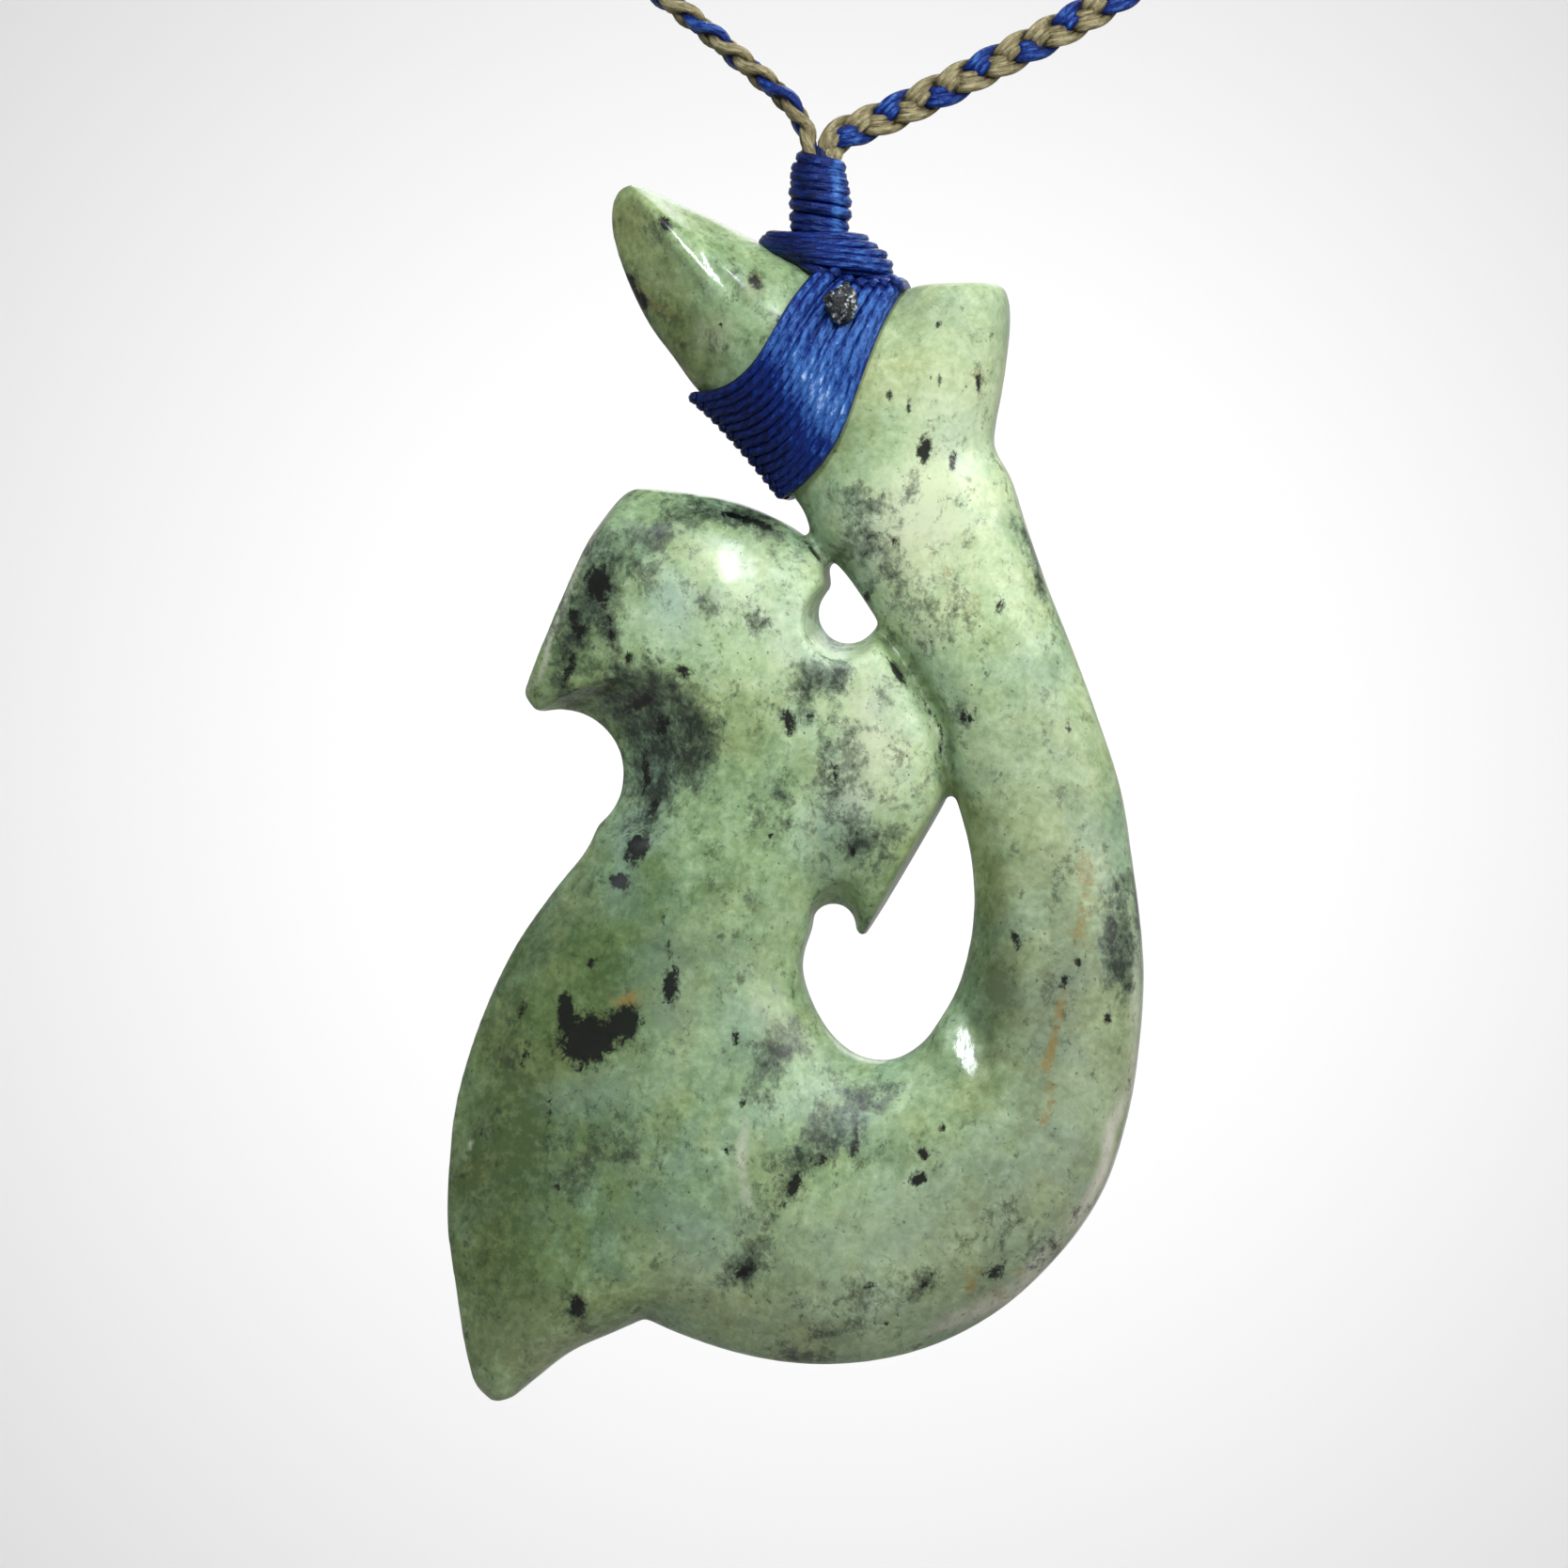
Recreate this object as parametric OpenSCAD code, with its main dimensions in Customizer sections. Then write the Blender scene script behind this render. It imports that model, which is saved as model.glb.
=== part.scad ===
// Jade hook pendant carved as a hammerhead shark, lashed to a three-strand braided neck cord.
// Millimetres. The pendant faces -Y, +X is the wearer's left, +Z is up.
// The origin is the nape, where the loop of braid rests on the back of the neck.

/* [Stone] */
// Height of the carved stone, which scales the whole pendant
stone_h = 80; // [60:1:95]
// Thickness of the stone against the carved one
depth_ratio = 1; // [0.8:0.05:1.2]

/* [Cord] */
// Diameter of the waxed thread in the wraps
thread_d = 0.78; // [0.6:0.02:0.9]
// Turns of thread round the root of the horn
lashing_turns = 13; // [8:1:15]
// Turns of thread round the neck column
whipping_turns = 9; // [6:1:11]
// Strands seen in the collar
collar_strands = 5; // [4:1:6]

/* [Hidden] */

// Size at which the tables below are drawn
drawn_h = 80;
k = stone_h / drawn_h;
// Free space between a wrap and what it lies on
wrap_gap = 0.12;
// Where the nape of the loop lies from the top of the neck column
nape = [0, 168, 194];
// Sections set between two rows of a table
stone_steps = 4;
wrap_steps = 2;
stone_green = "#8fae84";
thread_blue = "#1d3b9e";

// Rows of a stone table: x and z of the first edge, x and z of the second edge, thickness, blend.
// Blend goes from the first to the second height column of the profile.
X1 = 0; Z1 = 1; X2 = 2; Z2 = 3; THICK = 4; BLEND = 5;

// Knob, shank and bend of the hook, from the knob's top, first edge inside
hook_rows = [
    [ 6.4, -9.1, 11.5, -9.1,  6.4, 1.0],
    [ 5.9, -9.4, 12.1, -9.4,  8.6, 1.0],
    [ 5.2, -11.4, 12.4, -11.4, 9.2, 1.0],
    [ 3.0, -14.8, 12.0, -15.2, 9.6, 0.9],
    [ 0.8, -18.4, 11.4, -18.6, 9.6, 0.7],
    [-1.0, -22.2, 11.5, -20.0, 9.4, 0.5],
    [-0.3, -25.6, 12.5, -21.8, 9.8, 0.4],
    [ 1.9, -28.2, 13.5, -24.9, 9.6, 0.3],
    [ 4.3, -31.8, 14.9, -28.9, 9.4, 0.2],
    [ 6.2, -34.9, 16.5, -32.9, 9.2, 0.1],
    [ 7.5, -37.7, 18.2, -37.5, 9.2, 0.0],
    [ 8.6, -41.4, 19.7, -42.2, 9.2, 0.0],
    [ 9.8, -45.5, 20.5, -47.2, 9.4, 0.0],
    [10.2, -48.6, 21.0, -51.2, 9.6, 0.0],
    [10.1, -51.2, 21.2, -54.6, 9.8, 0.0],
    [ 9.6, -53.7, 20.9, -58.8, 10.0, 0.1],
    [ 8.9, -55.6, 20.2, -63.2, 10.2, 0.2],
    [ 7.9, -57.4, 18.6, -68.2, 10.4, 0.3],
    [ 6.8, -58.7, 15.7, -72.5, 10.6, 0.4],
    [ 5.4, -59.6, 11.3, -76.5, 10.6, 0.4],
    [ 4.0, -59.9,  5.8, -79.0, 10.4, 0.4],
    [ 2.6, -59.6, -0.7, -79.7, 10.2, 0.4],
    [ 1.4, -58.8, -7.4, -78.4, 9.6, 0.4],
    [ 0.2, -57.3, -13.4, -75.4, 8.6, 0.4],
    [-1.0, -54.8, -15.8, -70.5, 7.4, 0.4],
];

// Share of the way across, height of the shank, height of the knob
hook_profile = [
    [0.00, 0.30, 0.44],
    [0.06, 0.58, 0.72],
    [0.17, 0.83, 0.90],
    [0.33, 1.00, 0.98],
    [0.56, 0.96, 1.00],
    [0.78, 0.82, 0.97],
    [0.93, 0.55, 0.78],
    [1.00, 0.26, 0.44],
];

// Body of the shark from inside the head to the tail tip, first edge on the left
body_rows = [
    [ -6.3, -33.0,  5.0, -41.0, 8.6, 0.0],
    [-12.4, -37.6,  3.0, -45.4, 9.4, 0.0],
    [-14.8, -41.0,  1.2, -48.4, 9.8, 0.0],
    [-14.6, -44.0, -0.1, -50.6, 10.0, 0.0],
    [-15.2, -46.0, -0.9, -52.2, 10.2, 0.0],
    [-17.5, -48.9, -1.2, -53.8, 10.4, 0.0],
    [-20.1, -52.7, -0.7, -55.9, 10.6, 0.1],
    [-22.3, -57.5,  0.5, -58.9, 10.8, 0.3],
    [-23.8, -62.5,  1.1, -62.6, 10.8, 0.5],
    [-24.3, -66.8,  0.5, -66.6, 10.6, 0.7],
    [-24.4, -70.8, -1.7, -70.5, 10.0, 0.8],
    [-23.9, -74.6, -6.3, -74.3, 9.0, 0.9],
    [-23.5, -77.5, -12.6, -77.3, 7.6, 1.0],
    [-23.1, -79.6, -16.2, -78.9, 6.0, 1.0],
    [-22.6, -81.2, -18.6, -80.7, 4.6, 1.0],
    [-21.5, -82.3, -20.3, -82.1, 3.2, 1.0],
];

// Share of the way across, height of the trunk, height of the tail
body_profile = [
    [0.00, 0.24, 0.26],
    [0.05, 0.46, 0.44],
    [0.16, 0.72, 0.66],
    [0.36, 0.94, 0.90],
    [0.58, 1.00, 1.00],
    [0.80, 0.90, 0.86],
    [0.94, 0.62, 0.60],
    [1.00, 0.34, 0.30],
];

// Hammer of the head from its left end to its right end, first edge at the back
head_rows = [
    [-19.4, -35.8, -14.8, -25.3, 6.2, 0.0],
    [-18.9, -36.6, -12.6, -22.7, 7.8, 0.0],
    [-17.4, -38.2, -10.6, -22.5, 8.4, 0.0],
    [-15.2, -39.8,  -8.1, -22.8, 9.0, 0.0],
    [-12.7, -41.5,  -5.6, -23.3, 9.4, 0.0],
    [-10.3, -43.4,  -3.1, -24.3, 9.8, 0.1],
    [ -7.8, -45.1,  -1.1, -25.5, 9.8, 0.3],
    [ -5.4, -46.8,   0.3, -27.2, 9.8, 0.6],
    [ -2.9, -48.3,   1.9, -29.7, 9.6, 1.0],
    [ -0.7, -49.6,   4.3, -32.5, 9.4, 1.0],
    [  0.6, -50.5,   6.0, -34.9, 9.2, 1.0],
    [  1.5, -51.0,   7.3, -37.6, 8.8, 1.0],
    [  2.2, -51.4,   8.1, -40.0, 8.2, 1.0],
    [  2.7, -51.7,   8.4, -41.8, 7.4, 1.0],
    [  2.9, -51.8,   8.4, -42.4, 5.8, 1.0],
];

// Share of the way across, height with the bevelled brow, height with a rounded brow
head_profile = [
    [0.00, 0.36, 0.30],
    [0.08, 0.60, 0.58],
    [0.22, 0.84, 0.84],
    [0.44, 0.98, 0.98],
    [0.68, 1.00, 0.98],
    [0.88, 0.92, 0.80],
    [0.97, 0.50, 0.56],
    [1.00, 0.34, 0.28],
];

// Horn that the cord is lashed to, from its tip into the shank, first edge below
horn_rows = [
    [-13.2, -2.8, -12.2, -2.4, 1.6, 0.0],
    [-13.6, -3.6, -11.6, -2.7, 3.0, 0.0],
    [-13.7, -5.0, -10.6, -3.1, 4.6, 0.0],
    [-13.3, -6.9,  -9.2, -3.8, 6.2, 0.0],
    [-12.4, -9.3,  -7.4, -4.6, 7.8, 0.0],
    [-11.1, -11.8, -5.0, -5.8, 9.0, 0.1],
    [ -9.5, -13.9, -2.6, -7.0, 9.8, 0.5],
    [ -8.0, -15.9, -0.4, -8.3, 10.2, 0.9],
    [ -6.2, -17.6,  1.3, -9.5, 10.2, 1.0],
    [ -4.4, -19.6,  3.0, -9.9, 10.2, 1.0],
    [ -2.7, -21.7,  4.5, -9.9, 10.2, 1.0],
    [ -1.3, -23.4,  5.9, -9.8, 10.0, 1.0],
    [  0.4, -25.8,  8.0, -11.6, 9.2, 1.0],
    [  2.6, -28.2,  9.8, -16.4, 7.6, 1.0],
];

// Share of the way across, height with the ridge, height where it is rounded
horn_profile = [
    [0.00, 0.14, 0.40],
    [0.08, 0.28, 0.66],
    [0.30, 0.56, 0.88],
    [0.50, 0.80, 1.00],
    [0.67, 0.99, 0.97],
    [0.72, 0.97, 0.94],
    [0.90, 0.45, 0.66],
    [1.00, 0.14, 0.40],
];

// Depth of the faces from the middle of the stone, where the notches are laid out
face_y = 4.9;
// Sides of a round cut, thickness of its middle disc, and how far its two halves overlap
cut_sides = 36;
cut_mid_h = 0.5;
cut_lap = 0.1;
// Countersunk notches: centre and radius on the face, centre and radius at mid-thickness
notch_rows = [
    [-10.5, -39.6, 5.8, -17.1, -41.1, 4.2],
    [  1.8, -48.9, 2.1,   0.9, -51.1, 1.5],
    [  1.9, -31.3, 2.9,   1.9, -30.6, 2.0],
];
// Lower and upper end of the straight notch in the middle of the brow, just inside its countersink
brow_notch_low = [1.93, -30.56, 1.95];
brow_notch_top = [2.9, -28.2, 2.1];

// Span of the lashing along the horn's rows, and how far its threads bow towards the shank
lashing_span = [7.1, 10.85];
lashing_bow = 0.68;
// Depth of the groove between two turns, against the thread's diameter
turn_groove = 0.24;

// Neck column from its top to its base: height and half width
column_rows = [
    [ 0.0, 1.45],
    [-1.4, 1.85],
    [-2.8, 2.05],
    [-4.1, 2.12],
    [-5.7, 1.95],
];
// Outline of one turn on the column: share of the pitch, share of the groove's depth
turn_shape = [[0.0, 1.0], [0.25, 0.0], [0.75, 0.0]];
// Cords that run down inside the collar: half width and lowest point
core_r = 1.3;
core_base = -7.5;

// Collar: centre, tilt, half lengths of its ring, half heights at its two ends and half depth.
// It thickens along the ring by the power given, and each strand stands out by the scallop's share.
collar_at = [0.45, 0.2, -6.85];
collar_tilt = 13;
collar_half = [3.15, 2.75];
collar_thin = 0.28;
collar_thick = 1.25;
collar_depth = 1.05;
collar_power = 0.65;
collar_scallop = 0.05;
collar_rings = 28;

// Melted end of the lashing thread: centre, and each lump's place and radius
seal_at = [1.95, -5.95, -10.6];
seal_lumps = [
    [-0.30,  0.55, 0.62],
    [ 0.35,  0.35, 0.66],
    [-0.15, -0.35, 0.72],
    [ 0.35, -0.65, 0.55],
];

// Route of the neck braid from the top of the column round the neck and back, and its radius
braid_route = [
    [ -0.7,   0,   0.05, 0.60],
    [ -1.0,   0,   1.2, 0.90],
    [ -2.2,   0,   3.0, 1.15],
    [ -5.5,   1,   5.9, 1.20],
    [-10,     2,   9.6, 1.20],
    [-20,     6,  17, 1.20],
    [-32,    12,  27, 1.20],
    [-44,    21,  38, 1.20],
    [-55,    33,  52, 1.20],
    [-64,    50,  70, 1.20],
    [-69,    70,  92, 1.20],
    [-70,    90, 113, 1.20],
    [-68,   108, 132, 1.20],
    [-62,   125, 150, 1.20],
    [-53,   141, 166, 1.20],
    [-40,   155, 180, 1.20],
    [-21,   165, 191, 1.20],
    [  0,   168, 194, 1.20],
    [ 21,   165, 191, 1.20],
    [ 40,   155, 180, 1.20],
    [ 53,   141, 166, 1.20],
    [ 62,   125, 150, 1.20],
    [ 69,   108, 132, 1.20],
    [ 72,    90, 113, 1.20],
    [ 71,    70,  90, 1.20],
    [ 67,    52,  69, 1.20],
    [ 59,    36,  51, 1.20],
    [ 47,    22,  35, 1.20],
    [ 34,    12,  22, 1.20],
    [ 20,     5,  10.6, 1.20],
    [ 10.4,   2,   5.0, 1.20],
    [  4.4,   1,   2.0, 1.15],
    [  1.8,   0,   0.9, 0.90],
    [  0.7,   0,   0.05, 0.60],
];
braid_sides = 8;
// Longest step between two rings of the tube
braid_ring = 9.5;
// Direction square to the plane that the loop hangs in
loop_normal = [0, -0.756, 0.655];

// Smooth curve through b and c, with a and d as its neighbours
function through(a, b, c, d, t) =
    0.5 * (2 * b + (c - a) * t + (2 * a - 5 * b + 4 * c - d) * t * t + (3 * b - a - 3 * c + d) * t * t * t);

// Row of a table at a place between its rows
function row_at(rows, v) =
    let (last = len(rows) - 1, i = min(floor(v), last - 1))
    through(rows[max(i - 1, 0)], rows[i], rows[i + 1], rows[min(i + 2, last)], v - i);

// Point on the skin of a loft: place along it, profile row, side (-1 front, 1 back), growth
function skin_point(rows, v, p, side, grow) =
    let (
        r = row_at(rows, v),
        a = [r[X1], r[Z1]],
        b = [r[X2], r[Z2]],
        dir = (b - a) / norm(b - a),
        q = a - dir * grow + (b - a + 2 * dir * grow) * p[0],
        high = p[1] + (p[2] - p[1]) * r[BLEND]
    )
    [q[0], side * (depth_ratio * r[THICK] / 2 * high + grow), q[1]];

// Share of the bow at a share u of the way across, 1 at a third
function bow_at(u) = 6.75 * u * (1 - u) * (1 - u);

// Closed ring of points round a loft, bowed along it by a number of rows
function skin_ring(rows, profile, v, grow = 0, bow = 0) =
    let (last = len(profile) - 1)
    concat(
        [for (p = profile) skin_point(rows, v + bow * bow_at(p[0]), p, -1, grow)],
        [for (i = [last:-1:0]) let (p = profile[i]) skin_point(rows, v + bow * bow_at(p[0]), p, 1, grow)]
    );

// Two triangles between points i and j of rings that start at a and b
function band(a, b, i, j) = [[a + i, a + j, b + i], [a + j, b + j, b + i]];

// Triangles between each ring and the next, for n rings of m points
function sides(n, m) = [for (i = [0:n - 2], q = [0:m - 1]) each band(i * m, (i + 1) * m, q, (q + 1) % m)];

// Solid through rings of points, closed at both ends
module skin(rings) {
    m = len(rings[0]);
    n = len(rings);
    polyhedron(
        points = [for (r = rings) each r],
        faces = concat(sides(n, m), [[for (q = [m - 1:-1:0]) q]], [[for (q = [0:m - 1]) (n - 1) * m + q]])
    );
}

// Solid through rings of points, whose last ring joins the first
module closed_skin(rings) {
    m = len(rings[0]);
    n = len(rings);
    polyhedron(
        points = [for (r = rings) each r],
        faces = [for (i = [0:n - 1], q = [0:m - 1]) each band(i * m, ((i + 1) % n) * m, q, (q + 1) % m)]
    );
}

module loft(rows, profile) {
    skin([for (i = [0:stone_steps * (len(rows) - 1)]) skin_ring(rows, profile, i / stone_steps)]);
}

// Disc that a cut across the stone is hulled from, square to the face
module cut_disc(x, y, z, r, h) {
    translate([x, y, z]) rotate([90, 0, 0]) cylinder(h = h, r = r, center = true, $fn = cut_sides);
}

// Round cutter that narrows or shifts from each face to mid-thickness, and as much beyond the face
module countersink(row) {
    for (side = [-1, 1]) hull() {
        cut_disc(row[3], side * cut_lap, row[4], row[5], cut_mid_h);
        cut_disc(2 * row[0] - row[3], side * 2 * face_y, 2 * row[1] - row[4], 2 * row[2] - row[5], cut_lap);
    }
}

// Straight cut down to the notch between the two halves of the brow
module brow_notch() {
    hull() for (end = [brow_notch_low, brow_notch_top])
        cut_disc(end[0], 0.7 * cut_lap, end[1], end[2], 3 * face_y);
}

// One carved stone: hook and horn, with the shark's body and notched head
module jade_hook() {
    color(stone_green) resize([0, 0, drawn_h], auto = true) union() {
        loft(hook_rows, hook_profile);
        loft(horn_rows, horn_profile);
        difference() {
            union() {
                loft(body_rows, body_profile);
                loft(head_rows, head_profile);
            }
            for (row = notch_rows) countersink(row);
            brow_notch();
        }
    }
}

// Height of the wound thread's outside at a share t of the way along the band
function turn_height(t) =
    wrap_gap + thread_d * (1 - turn_groove * (0.5 + 0.5 * cos(360 * lashing_turns * t)));

// Band of thread wound side by side round the root of the horn
module shank_lashing() {
    n = wrap_steps * lashing_turns;
    v0 = lashing_span[0];
    v1 = lashing_span[1];
    outer = [for (i = [0:n]) let (t = i / n)
        skin_ring(horn_rows, horn_profile, v0 + (v1 - v0) * t, turn_height(t), lashing_bow)];
    inner = [for (i = [n:-wrap_steps:0])
        skin_ring(horn_rows, horn_profile, v0 + (v1 - v0) * i / n, wrap_gap, lashing_bow)];
    color(thread_blue) closed_skin(concat(outer, inner));
}

// Tilted coil round the foot of the column, thin on the left and spread on the right
module collar_wrap() {
    points = 6 * collar_strands;
    color(thread_blue) translate(collar_at) rotate([0, collar_tilt, 0]) closed_skin([
        for (i = [0:collar_rings - 1])
            let (
                turn = 360 * i / collar_rings,
                share = pow(0.5 + 0.5 * cos(turn), collar_power),
                high = collar_thin + (collar_thick - collar_thin) * share
            )
            [for (q = [0:points - 1])
                let (
                    a = 360 * q / points,
                    out = collar_depth * cos(a) * (1 + collar_scallop * cos(2 * collar_strands * a)),
                    x = (collar_half[0] + out) * cos(turn),
                    y = (collar_half[1] + out) * sin(turn)
                )
                [x, y, high * sin(a)]]
    ]);
}

// Half width of the neck column at a height
function column_r(z) = lookup(z, column_rows);

// Column of thread wound round the two ends of the braid, on the cords that run down to the lashing
module neck_whipping() {
    top = column_rows[0][0];
    base = column_rows[len(column_rows) - 1][0];
    pitch = (top - base) / whipping_turns;
    groove = turn_groove * thread_d;
    color(thread_blue) rotate_extrude($fn = 64) polygon(concat(
        [[0, core_base], [core_r, core_base], [core_r, base]],
        [for (i = [whipping_turns - 1:-1:0], s = turn_shape)
            let (z = top - pitch * (i + 1 - s[0])) [column_r(z) - groove * s[1], z]],
        [[column_r(top) - groove, top], [0, top]]
    ));
}

// Melted lump where the lashing thread was cut and sealed
module sealed_cord_end() {
    color("#3a3f3c") translate(seal_at) hull() {
        for (lump = seal_lumps) translate([lump[0], 0, lump[1]]) sphere(r = lump[2], $fn = 16);
    }
}

// Number of rings from one point of the route to the next
function braid_steps(i) =
    let (a = braid_route[i], b = braid_route[i + 1])
    ceil(norm([b[0] - a[0], b[1] - a[1], b[2] - a[2]]) / braid_ring);

// Ring round the route, square to the direction t
function braid_section(p, t) =
    let (across = cross(t, loop_normal), side = across / norm(across), up = cross(side, t) / norm(t))
    [for (q = [0:braid_sides - 1])
        let (a = 360 * q / braid_sides)
        [p[0], p[1], p[2]] + p[3] * (side * cos(a) + up * sin(a))];

// Loop of braid whose two ends stand on the neck column
module neck_braid() {
    last = len(braid_route) - 1;
    points = concat(
        [for (i = [0:last - 1], j = [0:braid_steps(i) - 1]) row_at(braid_route, i + j / braid_steps(i))],
        [braid_route[last]]
    );
    n = len(points);
    color("#9b8f68") skin([
        for (i = [0:n - 1])
            let (
                way = points[min(i + 1, n - 1)] - points[max(i - 1, 0)],
                t = i == 0 ? [0, 0, 1] : i == n - 1 ? [0, 0, -1] : [way[0], way[1], way[2]]
            )
            braid_section(points[i], t)
    ]);
}

module placed() {
    scale(k) translate(-nape) children();
}

placed() jade_hook();
placed() shank_lashing();
placed() collar_wrap();
placed() neck_whipping();
placed() sealed_cord_end();
placed() neck_braid();
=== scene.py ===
"""Looks of a jade hook carved as a hammerhead shark, lashed to a plaited cord of waxed thread.

Sizes are in millimetres from the top of the neck column, with the stone's middle plane at y = 0,
and every mesh is carried to the shared frame, whose origin is the nape of the loop, in metres.
"""
import math

import bmesh
import bpy
import numpy as np
from mathutils import Matrix, Vector, kdtree, noise


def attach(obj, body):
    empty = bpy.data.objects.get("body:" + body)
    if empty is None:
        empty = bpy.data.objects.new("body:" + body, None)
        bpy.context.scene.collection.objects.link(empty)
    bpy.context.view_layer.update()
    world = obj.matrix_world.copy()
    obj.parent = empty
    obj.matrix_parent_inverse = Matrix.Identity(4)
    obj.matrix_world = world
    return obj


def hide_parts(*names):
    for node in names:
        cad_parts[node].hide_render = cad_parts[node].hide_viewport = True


# without a seed, each run would sway the threads and shift the marks in its own way
noise.seed_set(5)

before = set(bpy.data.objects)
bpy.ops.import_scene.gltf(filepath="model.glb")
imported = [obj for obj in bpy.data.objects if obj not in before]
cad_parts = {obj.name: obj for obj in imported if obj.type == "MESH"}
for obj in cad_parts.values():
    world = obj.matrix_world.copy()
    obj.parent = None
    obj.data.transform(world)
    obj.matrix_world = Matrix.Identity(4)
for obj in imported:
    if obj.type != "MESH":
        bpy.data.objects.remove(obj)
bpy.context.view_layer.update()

NAPE = Vector((0, 168, 194))
TO_FRAME = Matrix.Scale(0.001, 4) @ Matrix.Translation(-NAPE)


def placed(name, data):
    """A new object in the scene that holds the data."""
    made = bpy.data.objects.new(name, data)
    bpy.context.scene.collection.objects.link(made)
    return made


# ---- camera

# Width of the picture at the stone and the point it is centred on, in mm
VIEW_W = 102.64
VIEW_AT = (-2.33, -0.2, -41.78)
VIEW_TURN = math.radians(5)
# in metres
VIEW_DISTANCE = 0.8
SENSOR_W = 36

camera_data = bpy.data.cameras.new("camera")
camera_data.sensor_fit = "HORIZONTAL"
camera_data.sensor_width = SENSOR_W
camera_data.lens = SENSOR_W * VIEW_DISTANCE / (VIEW_W * 0.001)
camera_data.clip_end = 20
camera = placed("camera", camera_data)
view_at = TO_FRAME @ Vector(VIEW_AT)
camera.location = view_at + VIEW_DISTANCE * Vector((math.sin(VIEW_TURN), -math.cos(VIEW_TURN), 0))
camera.rotation_euler = (math.pi / 2, 0, VIEW_TURN)
bpy.context.scene.camera = camera

# Key light: turn to the right of the camera and rise in degrees, distance in metres
KEY = (0, 36, 0.42)


def round_the_stone(turn, rise, distance):
    """Place of a light, by its turn to the right of the camera, its rise and its distance from the stone."""
    turn = math.radians(turn) + VIEW_TURN
    rise = math.radians(rise)
    way = Vector((math.sin(turn) * math.cos(rise), -math.cos(turn) * math.cos(rise), math.sin(rise)))
    return tuple(view_at + distance * way)


# ---- the forms of the stone and the cord

# Rows of the stone: x and z of the first edge, x and z of the second edge, thickness, blend
HOOK_ROWS = [
    (6.4, -9.1, 11.5, -9.1, 6.4, 1), (5.9, -9.4, 12.1, -9.4, 8.6, 1), (5.2, -11.4, 12.4, -11.4, 9.2, 1),
    (3, -14.8, 12, -15.2, 9.6, 0.9), (0.8, -18.4, 11.4, -18.6, 9.6, 0.7), (-1, -22.2, 11.5, -20, 9.4, 0.5),
    (-0.3, -25.6, 12.5, -21.8, 9.8, 0.4), (1.9, -28.2, 13.5, -24.9, 9.6, 0.3), (4.3, -31.8, 14.9, -28.9, 9.4, 0.2),
    (6.2, -34.9, 16.5, -32.9, 9.2, 0.1), (7.5, -37.7, 18.2, -37.5, 9.2, 0), (8.6, -41.4, 19.7, -42.2, 9.2, 0),
    (9.8, -45.5, 20.5, -47.2, 9.4, 0), (10.2, -48.6, 21, -51.2, 9.6, 0), (10.1, -51.2, 21.2, -54.6, 9.8, 0),
    (9.6, -53.7, 20.9, -58.8, 10, 0.1), (8.9, -55.6, 20.2, -63.2, 10.2, 0.2), (7.9, -57.4, 18.6, -68.2, 10.4, 0.3),
    (6.8, -58.7, 15.7, -72.5, 10.6, 0.4), (5.4, -59.6, 11.3, -76.5, 10.6, 0.4), (4, -59.9, 5.8, -79, 10.4, 0.4),
    (2.6, -59.6, -0.7, -79.7, 10.2, 0.4), (1.4, -58.8, -7.4, -78.4, 9.6, 0.4), (0.2, -57.3, -13.4, -75.4, 8.6, 0.4),
    (-1, -54.8, -15.8, -70.5, 7.4, 0.4),
]
BODY_ROWS = [
    (-6.3, -33, 5, -41, 8.6, 0), (-12.4, -37.6, 3, -45.4, 9.4, 0), (-14.8, -41, 1.2, -48.4, 9.8, 0),
    (-14.6, -44, -0.1, -50.6, 10, 0), (-15.2, -46, -0.9, -52.2, 10.2, 0), (-17.5, -48.9, -1.2, -53.8, 10.4, 0),
    (-20.1, -52.7, -0.7, -55.9, 10.6, 0.1), (-22.3, -57.5, 0.5, -58.9, 10.8, 0.3),
    (-23.8, -62.5, 1.1, -62.6, 10.8, 0.5), (-24.3, -66.8, 0.5, -66.6, 10.6, 0.7),
    (-24.4, -70.8, -1.7, -70.5, 10, 0.8), (-23.9, -74.6, -6.3, -74.3, 9, 0.9), (-23.5, -77.5, -12.6, -77.3, 7.6, 1),
    (-23.1, -79.6, -16.2, -78.9, 6, 1), (-22.6, -81.2, -18.6, -80.7, 4.6, 1), (-21.5, -82.3, -20.3, -82.1, 3.2, 1),
]
HEAD_ROWS = [
    (-19.4, -35.8, -14.8, -25.3, 6.2, 0), (-18.9, -36.6, -12.6, -22.7, 7.8, 0),
    (-17.4, -38.2, -10.6, -22.5, 8.4, 0), (-15.2, -39.8, -8.1, -22.8, 9, 0), (-12.7, -41.5, -5.6, -23.3, 9.4, 0),
    (-10.3, -43.4, -3.1, -24.3, 9.8, 0.1), (-7.8, -45.1, -1.1, -25.5, 9.8, 0.3),
    (-5.4, -46.8, 0.3, -27.2, 9.8, 0.6), (-2.9, -48.3, 1.9, -29.7, 9.6, 1), (-0.7, -49.6, 4.3, -32.5, 9.4, 1),
    (0.6, -50.5, 6, -34.9, 9.2, 1), (1.5, -51, 7.3, -37.6, 8.8, 1), (2.2, -51.4, 8.1, -40, 8.2, 1),
    (2.7, -51.7, 8.4, -41.8, 7.4, 1), (2.9, -51.8, 8.4, -42.4, 5.8, 1),
]
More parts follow.
